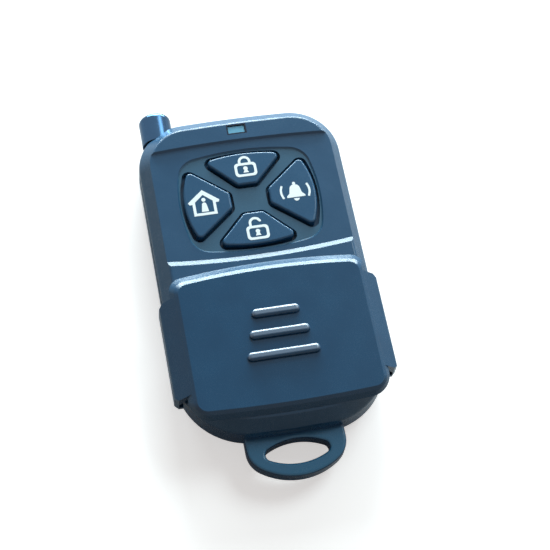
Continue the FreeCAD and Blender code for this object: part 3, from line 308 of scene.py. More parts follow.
def web_painted_light_mask(finish):
    """1 on the recessed web between the keys, where its grey and painted light go, 0
    elsewhere.
    """
    across = abs(finish.axis("X") / WEB_HALF[0]) ** WEB_BULGE
    along = abs((finish.axis("Y") - KEYS_MIDDLE) / WEB_HALF[1]) ** WEB_BULGE
    sunk = finish.axis("Z").below(top_of("front_shell") - WEB_SUNK, WEB_FADE)
    return (across + along).below(1.0, WEB_FADE) * sunk


def slot_shade_mask(finish):
    """1 on the painted shade round the light window, 0 elsewhere."""
    low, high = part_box("led_window")
    middle = (low.y + high.y) / 2 / MM
    across = abs(finish.axis("X")).below(SLOT_SHADE_HALF[0], SLOT_SHADE_FADE)
    return across * abs(finish.axis("Y") - middle).below(SLOT_SHADE_HALF[1], SLOT_SHADE_FADE)


# The web gets its greyer tone with painted light in it.
housing.repaint(web_painted_light_mask(housing), WEB_GREY_PAINTED_LIGHT)
# The dark ring round the window is painted shade.
housing.repaint(slot_shade_mask(housing), SLOT_PAINTED_SHADE)
tell(housing)


# %% [markdown]
# ## Painted light on the lug
#
# The top face of the lug is painted paler than the rest of the back shell. This is painted
# light, where the body's shadow falls on the lug. It could be painted by hand, corner by
# corner, but the mesh has few corners there. The lug is all that lies beyond one straight line
# across the shell, and its face is as high as the shell goes, so two soft edges and their
# product mark it.

# %% Painted light on the lug
# Painted light: a paler colour on the lug's face that stands in for light the body's shadow
# keeps off.
LUG_PAINTED_LIGHT = paint(0.042, 0.170, 0.300)
LUG_ROOT = -32.2
LUG_FADE = 0.8
FACE_DEPTH = 0.25
FACE_FADE = 0.15


def lug_painted_light_mask(finish):
    """1 on the lug's top face, where the painted light goes, 0 elsewhere on the back shell."""
    beyond_root = finish.axis("Y").below(LUG_ROOT, LUG_FADE)
    under_face = finish.axis("Z").below(top_of("back_shell") - FACE_DEPTH, FACE_FADE)
    return beyond_root * (1 - under_face)


back_plastic = moulded_plastic("back plastic", SLATE, SLATE_PALE, SHEEN)
# The paler lug face is painted light.
back_plastic.repaint(lug_painted_light_mask(back_plastic), LUG_PAINTED_LIGHT)
tell(back_plastic)


# %% [markdown]
# ## The cover and its polished grip ribs
#
# The cover is moulded in a slightly deeper slate. Three ribs stand on it for the thumb, which
# has polished the half of each rib that it pushes against. A lower roughness would give them
# small hard highlights. A clear coat over the same plastic gives the broad soft gleam that the
# photograph shows. The ribs repeat at one pitch along the cover, so the place along it is
# wrapped to that pitch, and one mask serves all three.

# %% Cover plastic
COVER_SLATE = paint(0.001, 0.038, 0.092)
COVER_PALE = paint(0.005, 0.058, 0.126)
RIB_RISE = 0.7
RIB_FOOT = 0.04
RIB_FIRST = 23.9
RIB_PITCH = 4.0
POLISH_EDGE = 0.15
POLISH_FADE = 0.25


def rib_polish(finish):
    """1 on the polished half of each grip rib, 0 elsewhere."""
    foot = top_of("slide_cover") - RIB_RISE + RIB_FOOT
    on_rib = 1 - finish.axis("Z").below(foot, RIB_FOOT)
    across = (finish.axis("Y") + RIB_FIRST).wrapped(-RIB_PITCH / 2, RIB_PITCH / 2)
    return on_rib * (1 - across.below(POLISH_EDGE, POLISH_FADE))


cover_plastic = moulded_plastic("cover plastic", COVER_SLATE, COVER_PALE, SHEEN)
cover_plastic.set("Coat Weight", rib_polish(cover_plastic))
cover_plastic.set("Coat Roughness", 0.40)
cover_plastic.set("Coat IOR", 1.7)
tell(cover_plastic)


# %% [markdown]
# ## The keys
#
# The four keys come from a mould of their own, and are a shade bluer than the case and a touch
# duller. They could wear the case's material, but then neither could be tuned alone. The same
# function makes their plastic from two other colours.

# %% Key plastic
KEY_SLATE = paint(0.010, 0.060, 0.128)
KEY_PALE = paint(0.018, 0.080, 0.160)
KEY_SHEEN = 0.21
key_plastic = moulded_plastic("key plastic", KEY_SLATE, KEY_PALE, KEY_SHEEN)
tell(key_plastic)


# %% [markdown]
# ## Turned chrome
#
# The antenna's tubes are plain chrome, and the cap at its end has a dark blue one. All were
# turned on a lathe, which leaves fine rings round them. Cut as grooves, the rings would need
# millions of faces. Noise that changes along the antenna alone, and not around it, gives the
# same rings in the relief and in the gloss, and a cloudy noise adds the smudges of fingers.

# %% Turned chrome
RING_SCALE = 9.0
RING_DEPTH = 0.004 * MM
SMUDGE_GRAIN = 1.5 * MM


def turned_chrome(name, colour):
    """Chrome with fine rings around the antenna's axis, which runs along Y."""
    finish = Finish(name, Base_Color=colour, Metallic=1.0)
    along = {"W": finish.axis("Y"), "Scale": RING_SCALE, "Detail": 3.0}
    rings = finish.add("TexNoise", {"noise_dimensions": "1D"}, along)
    smudges = finish.noise(SMUDGE_GRAIN)
    finish.set("Roughness", 0.12 + 0.08 * rings + 0.10 * smudges)
    finish.bump(rings, RING_DEPTH)
    return finish


cap_chrome = turned_chrome("blue cap chrome", paint(0.048, 0.105, 0.19))
tube_chrome = turned_chrome("antenna chrome", paint(0.46, 0.50, 0.54))
tell(cap_chrome, tube_chrome)


# %% [markdown]
# ## Rolled metal
#
# The battery contacts and the antenna's clip are bent from plated spring steel, and the screws
# are zinc plated. Rolling and drawing leave a straight grain in such metal. Anisotropic
# gloss could stand for it, but it blurs the single lines away. Noise that a Mapping node has
# squeezed along one axis shows the lines themselves, in the roughness and in the relief.

# %% Rolled metal
ROLLED_ALONG_X = (40.0, 1.0, 1.0)
DRAWN_ALONG_Y = (1.0, 6.0, 1.0)
GRAIN_LENGTH = 3 * MM
GRAIN_DEPTH = 0.003 * MM


def grained_metal(name, colour, roughness, squeeze):
    """Rolled metal with a straight grain."""
    finish = Finish(name, Base_Color=colour, Metallic=1.0)
    squeezed = finish.add("Mapping", {}, {"Vector": finish.place(), "Scale": squeeze})
    lines = finish.noise(GRAIN_LENGTH, detail=4.0, place=squeezed)
    finish.set("Roughness", roughness + 0.15 * lines)
    finish.bump(lines, GRAIN_DEPTH)
    return finish


plated = grained_metal("plated steel", paint(0.66, 0.64, 0.58), 0.22, ROLLED_ALONG_X)
zinc = grained_metal("screw zinc", paint(0.30, 0.31, 0.33), 0.30, DRAWN_ALONG_Y)
tell(plated, zinc)


# %% [markdown]
# ## Circuit board
#
# The board is a glass laminate with copper tracks under a green lacquer, which is paler and
# stands up a little over the copper. The tracks could be modelled one by one, but they are
# thinner than a hair and lie inside the case. A pattern is enough: lanes at the pitch of the
# chip's legs, bent gently by coarse noise, so that they don't look ruled.

# %% Board laminate
LACQUER = paint(0.006, 0.070, 0.022)
LACQUER_ON_COPPER = paint(0.02, 0.15, 0.045)
TRACK_PITCH = 1.27
TRACK_BEND = 3
TRACK_RISE = 0.03 * MM


def board_laminate():
    """Green lacquer over copper tracks that run along the board."""
    finish = Finish("board laminate", Specular_IOR_Level=0.6, Coat_Weight=0.5)
    bend = TRACK_BEND * finish.noise(9 * MM)
    from_middle = abs((finish.axis("X") / TRACK_PITCH + bend).fraction() - 0.5)
    tracks = from_middle.below(0.2, 0.05)
    finish.set("Base Color", finish.blend(tracks, LACQUER, LACQUER_ON_COPPER))
    finish.set("Roughness", 0.28 + 0.12 * finish.noise(0.6 * MM))
    finish.bump(tracks, TRACK_RISE)
    return finish


laminate = board_laminate()
tell(laminate)


# %% [markdown]
# ## Black epoxy and switch plastic
#
# The chip, the transistor and the resistors are cast in black epoxy, and the switches are
# moulded in black plastic. Both look flat black from afar but are finely grained up close. A
# plain dark colour would hide their edges, so one fine noise sets the colour, the sheen and
# the relief together, and the switches only get a little more sheen.

# %% Dull black
BLACK_DEEP = paint(0.010, 0.010, 0.011)
BLACK_WORN = paint(0.022, 0.022, 0.024)
BLACK_GRAIN = 0.1 * MM
BLACK_DEPTH = 0.004 * MM


def dull_black(name, roughness):
    """A finely grained black, for cast and moulded parts."""
    finish = Finish(name)
    speckle = finish.noise(BLACK_GRAIN)
    finish.set("Base Color", finish.blend(speckle, BLACK_DEEP, BLACK_WORN))
    finish.set("Roughness", roughness + 0.12 * speckle)
    finish.bump(speckle, BLACK_DEPTH)
    return finish


epoxy = dull_black("black epoxy", 0.45)
switch_black = dull_black("switch plastic", 0.38)
tell(epoxy, switch_black)


# %% [markdown]
# ## Clear plastic
#
# The light window is a blue, slightly milky light guide, and the lamp under it has a clear
# lens. Full transmission would show the dark inside of the case through the window, so only a
# quarter of the window's light passes and the rest shows its own blue. Faint flow marks from
# moulding vary the colour and the gloss.

# %% Clear plastic
CLEAR_IOR = 1.49
FLOW_GRAIN = 0.8 * MM


def clear_plastic(name, colour, pale, transmission):
    """Clear moulded plastic with a slight tint and faint flow marks."""
    finish = Finish(name, IOR=CLEAR_IOR, Transmission_Weight=transmission)
    flow = finish.noise(FLOW_GRAIN, detail=1.0)
    finish.set("Base Color", finish.blend(flow, colour, pale))
    finish.set("Roughness", 0.12 + 0.10 * flow)
    return finish


WINDOW_BLUE, WINDOW_PALE = paint(0.18, 0.54, 0.78), paint(0.24, 0.62, 0.86)
LENS_CLEAR, LENS_PALE = paint(0.60, 0.80, 0.95), paint(0.70, 0.88, 1.0)
window_plastic = clear_plastic("window plastic", WINDOW_BLUE, WINDOW_PALE, 0.25)
lens_plastic = clear_plastic("light lens", LENS_CLEAR, LENS_PALE, 0.85)
tell(window_plastic, lens_plastic)


# %% [markdown]
# ## Battery sleeve
#
# The small battery is wrapped in a shrunk plastic sleeve, dark along most of its length and
# golden at one end, and its two ends are bare metal. The sleeve could be a piece of its own,
# but it is a film on the can, so masks along the battery switch between the two colours and
# between plastic and metal. Coarse noise gives the slight wrinkles of the shrinking.

# %% Battery sleeve
SLEEVE_GOLD = paint(0.55, 0.42, 0.16)
SLEEVE_DARK = paint(0.02, 0.02, 0.025)
DARK_UP_TO = 6.0
SLEEVE_HALF = 13.2


def battery_sleeve():
    """Plain shrink sleeve in two colours, with bare metal ends."""
    finish = Finish("battery sleeve", Specular_IOR_Level=0.6, Coat_Weight=0.4)
    along = finish.axis("X")
    wrinkles = finish.noise(2 * MM, detail=3.0)
    dark_part = along.below(DARK_UP_TO, 0.2)
    finish.set("Base Color", finish.blend(dark_part, SLEEVE_GOLD, SLEEVE_DARK))
    finish.set("Metallic", 1 - abs(along).below(SLEEVE_HALF, 0.1))
    finish.set("Roughness", 0.25 + 0.15 * wrinkles)
    finish.bump(wrinkles, 0.02 * MM)
    return finish


sleeve = battery_sleeve()
tell(sleeve)


# %% [markdown]
# ## Choke
#
# The choke on the board looks like a small resistor: a body dipped in green lacquer with
# coloured bands that give its value. The bands could be thin rings laid round it, but a
# repeating fraction of the place along the body paints them without any new mesh.

# %% Choke lacquer
BODY_GREEN, BODY_PALE = paint(0.10, 0.26, 0.17), paint(0.13, 0.32, 0.21)
BAND_BROWN = paint(0.25, 0.10, 0.03)
BANDS_PER_MM = 1.1
BAND_SHARE = 0.3


def lacquered_choke():
    """Lacquered choke with its colour bands."""
    finish = Finish("choke lacquer", Coat_Weight=0.6)
    bands = (finish.axis("Y") * BANDS_PER_MM).fraction().below(BAND_SHARE, 0.03)
    clouds = finish.noise(0.8 * MM)
    body = finish.blend(clouds, BODY_GREEN, BODY_PALE)
    finish.set("Base Color", finish.blend(bands, body, BAND_BROWN))
    finish.set("Roughness", 0.25 + 0.1 * clouds)
    return finish


lacquer = lacquered_choke()
tell(lacquer)


# %% [markdown]
# ## Dress the CAD pieces
#
# Every CAD piece keeps its mesh and only gets a material. Each could be dressed in a line of
# its own, but a table from finish to piece names shows at a glance what shares a finish, and
# the count at the end shows that no piece was forgotten.

# %% Assign the finishes
KEY_NAMES = ("lock", "unlock", "home", "alarm")
WEARS = {
    housing: ["front_shell"],
    back_plastic: ["back_shell"],
    cover_plastic: ["slide_cover"],
    key_plastic: [name + "_key" for name in KEY_NAMES],
    switch_black: [name + part for name in KEY_NAMES for part in ("_switch", "_plunger")],
    window_plastic: ["led_window"],
    lens_plastic: ["indicator_led"],
    laminate: ["circuit_board"],
    epoxy: ["encoder_chip", "rf_transistor", "chip_resistors"],
    lacquer: ["choke"],
    sleeve: ["battery"],
    plated: ["saw_resonator", "positive_contact", "negative_contact", "antenna_clip"],
    zinc: ["shell_screws"],
    cap_chrome: ["antenna_cap"],
    tube_chrome: ["antenna_base_tube", "antenna_lower_tube", "antenna_upper_tube",
                  "antenna_rod", "antenna_collar"],
}


def dress(piece, finish):
    """Give a piece one finish, in place of what it had."""
    piece.data.materials.clear()
    piece.data.materials.append(finish.material)


for finish, names in WEARS.items():
    for name in names:
        dress(nodes[name], finish)
print("dressed:", sum(len(names) for names in WEARS.values()), "of", len(nodes))


# %% [markdown]
# ## White ink
#
# The signs on the keys are printed in white ink, a film so thin that it covers a little
# unevenly. One flat white would look like cut paper. So the ink's colour, sheen and relief
# all follow one noise with grains of about a third of a millimetre.

# %% White ink
INK_THIN = paint(0.78, 0.83, 0.84)
INK_FULL = paint(0.93, 0.95, 0.95)
ink = Finish("white ink", Specular_IOR_Level=0.4)
ink_clouds = ink.noise(0.35 * MM)
ink.set("Base Color", ink.blend(ink_clouds, INK_THIN, INK_FULL))
ink.set("Roughness", 0.40 + 0.15 * ink_clouds)
ink.bump(ink_clouds, 0.002 * MM)
tell(ink)


# %% [markdown]
# ## Signs drawn as closed loops
#
# Each key carries one printed sign: a closed padlock, an open padlock, a house with a figure
# in it, and an alarm bell. A sign could be a mask in the key's material, but such small
# curves would need dozens of nodes. A flat curve made of closed loops is easier. It is filled
# between its loops: an inner loop cuts a hole, and a loop inside that hole is filled again. A
# thickness of two hundredths of a millimetre makes it the film of ink that it really is.

# %% Arcs and round boxes
ARC_STEPS = 14
CORNER_STEPS = 6
SMALL_STEPS = 10
ALMOST_ROUND = 342


def arc(centre, radius, start, end, steps=ARC_STEPS):
    """Points on an arc, with angles in degrees."""
    points = []
    for index in range(steps + 1):
        angle = math.radians(start + (end - start) * index / steps)
        x = centre[0] + radius * math.cos(angle)
        points.append((x, centre[1] + radius * math.sin(angle)))
    return points


def disc(centre, radius, steps=SMALL_STEPS):
    """A round loop, which stops short of its start because the curve closes itself."""
    return arc(centre, radius, 0, ALMOST_ROUND, steps)


def round_box(centre, half_x, half_y, corner):
    """A rectangle with round corners, counter-clockwise from the right."""
    points = []
    for sign_x, sign_y, start in ((1, 1, 0), (-1, 1, 90), (-1, -1, 180), (1, -1, 270)):
        middle_x = centre[0] + sign_x * (half_x - corner)
        middle_y = centre[1] + sign_y * (half_y - corner)
        points += arc((middle_x, middle_y), corner, start, start + 90, CORNER_STEPS)
    return points


# %% Printing a sign on a key
INK_THICKNESS = 0.02
KEY_TOP = top_of("lock_key")


def print_sign(name, loops, centre, body):
    """Fill the loops, thicken them to a film of ink on the key's top, and ride on a body."""
    curve = bpy.data.curves.new(name, "CURVE")
    curve.dimensions = "2D"
    curve.fill_mode = "BOTH"
    curve.extrude = INK_THICKNESS / 2 * MM
    for loop in loops:
        spline = curve.splines.new("POLY")
        spline.points.add(len(loop) - 1)
        for point, (x, y) in zip(spline.points, loop):
            point.co = (x * MM, y * MM, 0, 1)
        spline.use_cyclic_u = True
    flat = bpy.data.objects.new(name + "_flat", curve)
    bpy.context.scene.collection.objects.link(flat)
    graph = bpy.context.evaluated_depsgraph_get()
    mesh = bpy.data.meshes.new_from_object(flat.evaluated_get(graph))
    bpy.data.objects.remove(flat)
    place = Vector((centre[0], centre[1] + KEYS_MIDDLE, KEY_TOP + INK_THICKNESS / 2))
    mesh.transform(Matrix.Translation(place * MM))
    sign = bpy.data.objects.new(name, mesh)
    bpy.context.scene.collection.objects.link(sign)
    dress(sign, ink)
    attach(sign, body)
    print(name, "faces:", len(mesh.polygons))


# %% [markdown]
# ## Padlocks
#
# One key shows a closed padlock and the key opposite an open one. The two could be drawn
# apart, but they share the round-cornered body, the smaller box cut out of it and the keyhole
# in the middle, so only the shackle is drawn twice. It grows out of the body's outline
# between the two upper corners. The closed one is an even arch with a hole under it. The
# open one is swung up, and its right end stands free.

# %% Padlocks
BODY_HALF = (2.05, 1.42)
BODY_CORNER = 0.70
BODY_MIDDLE = -0.70
BODY_TOP = BODY_MIDDLE + BODY_HALF[1]
BODY_LINE = 0.50
SHACKLE_RADIUS = 1.18
SHACKLE_LINE = 0.48
SHACKLE_INNER = SHACKLE_RADIUS - SHACKLE_LINE
SHACKLE_RISE = 0.25
SHACKLE_SWING = (-0.20, 0.30)
FREE_END_SHIFT = (-0.04, 0.36)
KEYHOLE_RISE = 0.25
KEYHOLE_RADIUS = 0.42
SLOT_HALF = 0.52
SLOT_DROP = 0.62
LOCK_MIDDLE = (0.2, 6.6)
UNLOCK_MIDDLE = (0.1, -6.5)


def keyhole():
    """A round hole over a short slot, drawn as one drop."""
    drop = arc((0, BODY_MIDDLE + KEYHOLE_RISE), KEYHOLE_RADIUS, -50, 230)
    slot_foot = BODY_MIDDLE - SLOT_DROP
    return drop + [(-SLOT_HALF, slot_foot), (SLOT_HALF, slot_foot)]


def padlock(shackle, *holes):
    """A body with a shackle in its outline, what is cut out of it, and the keyhole."""
    outline = round_box((0, BODY_MIDDLE), *BODY_HALF, BODY_CORNER)
    first_corner = CORNER_STEPS + 1
    outline = outline[:first_corner] + shackle + outline[first_corner:]
    inside = (BODY_HALF[0] - BODY_LINE, BODY_HALF[1] - BODY_LINE)
    cut_out = round_box((0, BODY_MIDDLE), *inside, BODY_CORNER - BODY_LINE / 2)
    return [outline, cut_out, *holes, keyhole()]


def closed_padlock():
    """A padlock with an even arch, and the hole under it."""
    centre = (0, BODY_TOP + SHACKLE_RISE)
    arch = [(SHACKLE_RADIUS, BODY_TOP)] + arc(centre, SHACKLE_RADIUS, 0, 180)
    arch += [(-SHACKLE_RADIUS, BODY_TOP)]
    eye = arc(centre, SHACKLE_INNER, 0, 180)
    eye += [(-SHACKLE_INNER, BODY_TOP), (SHACKLE_INNER, BODY_TOP)]
    return padlock(arch, eye)


def open_padlock():
    """A padlock whose shackle is swung up, with a round free end."""
    x = SHACKLE_SWING[0]
    y = BODY_TOP + SHACKLE_RISE + SHACKLE_SWING[1]
    free_end = (x + SHACKLE_INNER + SHACKLE_LINE / 2 + FREE_END_SHIFT[0],
                y + FREE_END_SHIFT[1])
    hook = [(x - SHACKLE_INNER, BODY_TOP)] + arc((x, y), SHACKLE_INNER, 190, 20)
    hook += arc(free_end, SHACKLE_LINE / 2, 200, 380, CORNER_STEPS)
    hook += arc((x, y), SHACKLE_RADIUS, 25, 190) + [(x - SHACKLE_RADIUS, BODY_TOP)]
    return padlock(hook)


print_sign("closed_padlock_sign", closed_padlock(), LOCK_MIDDLE, "lock_key")
print_sign("open_padlock_sign", open_padlock(), UNLOCK_MIDDLE, "unlock_key")


# %% [markdown]
# ## House with a figure
#
# The left-hand key shows a house with a figure in its room. Roof and walls could be two
# shapes, but where filled loops overlap they cut each other out. So they are one outline with
# the room as a hole, and the figure's head and body are two more loops inside that hole.

# %% House with a figure
HOUSE_HALF = 2.15
HOUSE_FOOT = -2.55
EAVE_HALF = 2.90
EAVE = 0.30
EAVE_FOOT = EAVE - 0.45
EAVE_CUT = 0.2
APEX = 2.65
WALL_LINE = 0.52
ROOM_FLOOR = HOUSE_FOOT + WALL_LINE
ROOM_EAVE = EAVE - 0.05
ROOM_APEX = APEX - 1.0
HEAD_MIDDLE, HEAD_RADIUS = (0, 0.62), 0.40
CHEST_MIDDLE, CHEST_RADIUS = (0, -0.35), 0.42
HEM_HALF = 0.66
HEM = ROOM_FLOOR + 0.22
HOUSE_MIDDLE = (-8.6, 0.2)


def mirrored(right, middle):
    """A loop of a right side, what lies in the middle, and the right side's mirror image."""
    return right + middle + [(-x, y) for x, y in reversed(right)]


def house():
    """Roof and walls as one outline, the room as a hole, and a figure in the room."""
    walls = [(HOUSE_HALF, HOUSE_FOOT), (HOUSE_HALF, EAVE_FOOT),
             (EAVE_HALF - EAVE_CUT, EAVE_FOOT), (EAVE_HALF, EAVE)]
    room_half = HOUSE_HALF - WALL_LINE
    room = [(room_half, ROOM_FLOOR), (room_half, ROOM_EAVE)]
    head = disc(HEAD_MIDDLE, HEAD_RADIUS, 12)
    body = arc(CHEST_MIDDLE, CHEST_RADIUS, 10, 170, SMALL_STEPS)
    body += [(-HEM_HALF, HEM), (HEM_HALF, HEM)]
    return [mirrored(walls, [(0, APEX)]), mirrored(room, [(0, ROOM_APEX)]), head, body]


print_sign("house_sign", house(), HOUSE_MIDDLE, "home_key")


# %% [markdown]
# ## Alarm bell
#
# The right-hand key sets off the alarm, so it shows a ringing bell. Its parts could be joined
# to one outline, but that would have to run back and forth between them. Bell, clapper and
# knob are simpler as a loop each. A sound line on each side is a loop too: an arc out and a
# shorter arc back.

# %% Alarm bell
BELL_HALF = 1.70
BELL_FOOT = -1.15
BELL_RIM = BELL_FOOT + 0.32
BELL_WAIST = (1.18, -0.32)
CROWN_MIDDLE, CROWN_RADIUS = (0, 0.50), 1.00
CLAPPER_MIDDLE, CLAPPER_RADIUS = (0, BELL_FOOT - 0.25), 0.52
KNOB_MIDDLE, KNOB_RADIUS = (0, 1.72), 0.30
SOUND_MIDDLE, SOUND_RADII = (0, 0.1), (2.85, 2.45)
SOUND_SPREAD = 30
BELL_MIDDLE = (8.4, 0.0)


def bell():
    """Bell body with its rim, the clapper, a knob, and a sound line on each side."""
    skirt = [(BELL_HALF, BELL_FOOT), (BELL_HALF, BELL_RIM), BELL_WAIST]
    body = mirrored(skirt, arc(CROWN_MIDDLE, CROWN_RADIUS, 0, 180))
    clapper = arc(CLAPPER_MIDDLE, CLAPPER_RADIUS, 180, 360, SMALL_STEPS)
    loops = [body, clapper, disc(KNOB_MIDDLE, KNOB_RADIUS)]
    outer, inner = SOUND_RADII
    for side in (0, 180):
        start, end = side - SOUND_SPREAD, side + SOUND_SPREAD
        sound = arc(SOUND_MIDDLE, outer, start, end, SMALL_STEPS)
        loops.append(sound + arc(SOUND_MIDDLE, inner, end, start, SMALL_STEPS))
    return loops


print_sign("bell_sign", bell(), BELL_MIDDLE, "alarm_key")


# %% [markdown]
# ## Where the solder goes
#
# Each leg of the chip and of the switches is held to the board by a small bead of solder. The
# beads could be set by hand, but the legs' places follow from the pieces: four corners of each
# switch, and two rows along the chip. Worked out from the CAD boxes, they stay right when the
# model changes.

# %% Points where legs meet the board
BOARD_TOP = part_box("circuit_board")[1].z
LEG_FROM_EDGE = 0.7 * MM
CHIP_PINS = 8
CHIP_PITCH = 1.27 * MM


def leg_points():
    """One point under each leg of the switches and of the chip."""
    points = []
    for name in KEY_NAMES:
        low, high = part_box(name + "_switch")
        for x in (low.x, high.x):
            for y in (low.y + LEG_FROM_EDGE, high.y - LEG_FROM_EDGE):
                points.append(Vector((x, y, BOARD_TOP)))
    low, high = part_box("encoder_chip")
    middle = (low.x + high.x) / 2
    for index in range(CHIP_PINS):
        x = middle + CHIP_PITCH * (index - (CHIP_PINS - 1) / 2)
        for y in (low.y, high.y):
            points.append(Vector((x, y, BOARD_TOP)))
    return points


legs = leg_points()
print("legs on the board:", len(legs))


# %% [markdown]
# ## The bead tree
#
# A bead of solder is a low dome. A loop could copy one mesh to every leg, but Geometry Nodes
# say it once: a mesh that holds only the leg points goes in, and an ico sphere, squashed to a
# bead, is put on each of them. The bead's radius and height are named inputs. The tree ends by
# making the copies real, because an export drops those that aren't, and by giving them their
# metal.

# %% The bead tree
BEAD = {"Bead radius": 0.34 * MM, "Bead height": 0.22 * MM}
EVEN_GRAIN = (1.0, 1.0, 1.0)
solder = grained_metal("solder", paint(0.60, 0.60, 0.62), 0.25, EVEN_GRAIN)


def bead_tree():
    """A node tree that puts a squashed sphere on every point of a mesh."""
    tree = bpy.data.node_groups.new("solder beads", "GeometryNodeTree")
    face = tree.interface
    face.new_socket("Geometry", in_out="INPUT", socket_type="NodeSocketGeometry")
    for name in BEAD:
        face.new_socket(name, in_out="INPUT", socket_type="NodeSocketFloat")
    face.new_socket("Geometry", in_out="OUTPUT", socket_type="NodeSocketGeometry")
    given = tree.nodes.new("NodeGroupInput")
    sphere = tree.nodes.new("GeometryNodeMeshIcoSphere")
    sphere.inputs["Radius"].default_value = 1.0
    sphere.inputs["Subdivisions"].default_value = 2
    shape = tree.nodes.new("ShaderNodeCombineXYZ")
    place = tree.nodes.new("GeometryNodeInstanceOnPoints")
    real = tree.nodes.new("GeometryNodeRealizeInstances")
    metal = tree.nodes.new("GeometryNodeSetMaterial")
    metal.inputs["Material"].default_value = solder.material
    result = tree.nodes.new("NodeGroupOutput")
    link = tree.links.new
    link(given.outputs["Geometry"], place.inputs["Points"])
    link(sphere.outputs["Mesh"], place.inputs["Instance"])
    for axis in ("X", "Y"):
        link(given.outputs["Bead radius"], shape.inputs[axis])
    link(given.outputs["Bead height"], shape.inputs["Z"])
    link(shape.outputs["Vector"], place.inputs["Scale"])
    link(place.outputs["Instances"], real.inputs["Geometry"])
    link(real.outputs["Geometry"], metal.inputs["Geometry"])
    link(metal.outputs["Geometry"], result.inputs["Geometry"])
    return tree


beads = bead_tree()
tell(solder)
print("nodes in the bead tree:", len(beads.nodes))


# %% [markdown]
# ## Grow the beads
#
# The tree could stay on its object as a live modifier, but a plain mesh is what every tool
# after Blender can read. So the tree runs once on a holder with the leg points, the result is
# kept as a mesh, and the holder with its modifier goes. The beads then ride on the housing,
# which carries the board.

# %% Make the beads a plain mesh
def grow(name, points, tree, sizes, body):
    """Run a tree on a mesh of points, keep its result as a plain mesh, and ride on a body."""
    seeds = bpy.data.meshes.new(name + "_points")
    seeds.from_pydata(points, [], [])
    holder = bpy.data.objects.new(name + "_holder", seeds)
    bpy.context.scene.collection.objects.link(holder)
    modifier = holder.modifiers.new("grow", "NODES")
    modifier.node_group = tree
    for item in tree.interface.items_tree:
        if item.name in sizes:
            modifier[item.identifier] = sizes[item.name]
    graph = bpy.context.evaluated_depsgraph_get()
    mesh = bpy.data.meshes.new_from_object(holder.evaluated_get(graph))
    bpy.data.objects.remove(holder)
    piece = bpy.data.objects.new(name, mesh)
    bpy.context.scene.collection.objects.link(piece)
    for polygon in mesh.polygons:
        polygon.use_smooth = True
    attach(piece, body)
    print(name, "copies:", len(points), "faces:", len(mesh.polygons))


grow("solder_beads", legs, beads, BEAD, "housing")


# %% [markdown]
# ## Floor
#
# The photograph shows the remote on plain white. Lamps strong enough to turn a floor white
# would wash out the remote too, so the floor glows a little instead, and only to the camera:
# glow and lamplight together come to white, and the remote's shadow stays. The lamps reach
# less far than the floor does, so its glow rises to full white away from the remote, and no
# grey edge shows. The distance is left squared, which saves a root. In mirrors and through
# glass the floor is pale as well. To soft light it is dark, so that it doesn't light the
# remote's flanks from below.

# %% Floor
SEEN_RAYS = ("Is Camera Ray", "Is Glossy Ray", "Is Transmission Ray")
WHITE = paint(1.0, 1.0, 1.0)
BLACK = paint(0.0, 0.0, 0.0)
FLOOR_SEEN = paint(0.86, 0.83, 0.82)
FLOOR_TO_SOFT_LIGHT = paint(0.20, 0.18, 0.16)
NEAR_GLOW = paint(0.56, 0.545, 0.535)
FLOOR_HALF = 0.9
GLOW_RISES_FROM = 120.0
GLOW_RISES_OVER = 300.0


def seen(graph):
    """1 on what the camera sees, also in mirrors and through glass, 0 for soft light."""
    camera_ray, mirror_ray, glass_ray = (graph.add("LightPath", {}, {}, out=name)
                                         for name in SEEN_RAYS)
    return camera_ray + mirror_ray + glass_ray


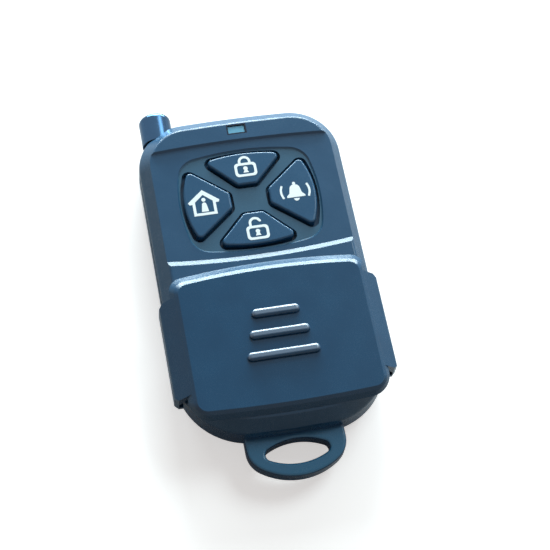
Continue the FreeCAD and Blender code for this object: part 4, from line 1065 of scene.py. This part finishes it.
def lay_floor():
    """A flat square under the remote, with its finish."""
    finish = Finish("floor", Roughness=0.9, Specular_IOR_Level=0.0, Emission_Strength=1.0)
    base = finish.blend(seen(finish), FLOOR_TO_SOFT_LIGHT, FLOOR_SEEN)
    finish.set("Base Color", base)
    x, y = finish.axis("X"), finish.axis("Y")
    far = 1 - (x * x + y * y).below(GLOW_RISES_FROM ** 2, GLOW_RISES_OVER ** 2)
    camera_ray = finish.add("LightPath", {}, {}, out="Is Camera Ray")
    glow = finish.blend(camera_ray, BLACK, finish.blend(far, NEAR_GLOW, WHITE))
    finish.set("Emission Color", glow)
    mesh = bpy.data.meshes.new("floor")
    corners = [(-FLOOR_HALF, -FLOOR_HALF, 0), (FLOOR_HALF, -FLOOR_HALF, 0),
               (FLOOR_HALF, FLOOR_HALF, 0), (-FLOOR_HALF, FLOOR_HALF, 0)]
    mesh.from_pydata(corners, [], [(0, 1, 2, 3)])
    square = bpy.data.objects.new("floor", mesh)
    bpy.context.scene.collection.objects.link(square)
    dress(square, finish)
    tell(finish)
    return square


floor = lay_floor()


# %% [markdown]
# ## Lamps
#
# In the photograph, daylight comes from beyond the antenna end, through something wide and
# low, because the slopes that face that way are the brightest. A sun would draw hard edges on
# them, so soft area lamps are used. One is wide and low, a smaller one above it lights the
# crowned faces, and a weak one high on the right keeps that flank from going black. All three
# are slightly cool.

# %% Lamps
COOL = (0.80, 0.96, 1.0)
LAMPS = {
    "window": {"place": (0.10, 0.60, 0.07), "size": (0.80, 0.12), "watts": 12.5},
    "sky": {"place": (0.095, 0.55, 0.25), "size": (0.24, 0.26), "watts": 3.6},
    "side": {"place": (0.40, 0.28, 0.50), "size": (0.30, 0.30), "watts": 2.0},
}


def area_lamp(name, place, size, watts):
    """A soft rectangular lamp that points at the middle of the remote."""
    data = bpy.data.lights.new(name, "AREA")
    data.shape = "RECTANGLE"
    data.size, data.size_y = size
    data.energy = watts
    data.color = COOL
    lamp = bpy.data.objects.new(name, data)
    bpy.context.scene.collection.objects.link(lamp)
    aim(lamp, Vector(place), -Vector(place).normalized(), Vector((0, 0, 1)))
    print(name, "lamp:", watts, "W")


for name, facts in LAMPS.items():
    area_lamp(name, **facts)


# %% [markdown]
# ## World
#
# Light from all round fills the shadows. If the world gave as much light as a white surround
# should, it would drown the lamps. So it is white where it is seen, in mirrors and through
# glass too, and weak as a light. The mask that the floor uses tells the two apart.

# %% World
AMBIENT = 0.16
world = bpy.data.worlds.new("world")
bpy.context.scene.world = world
world.use_nodes = True
air = Graph(world.node_tree)
background = air.nodes["Background"]
strength = air.add("MapRange", {}, {"Value": seen(air), "To Min": AMBIENT, "To Max": 1.0})
air.put(background.inputs["Strength"], strength)
air.put(background.inputs["Color"], WHITE)
bpy.context.scene.view_settings.view_transform = "Standard"
print("world light:", AMBIENT)
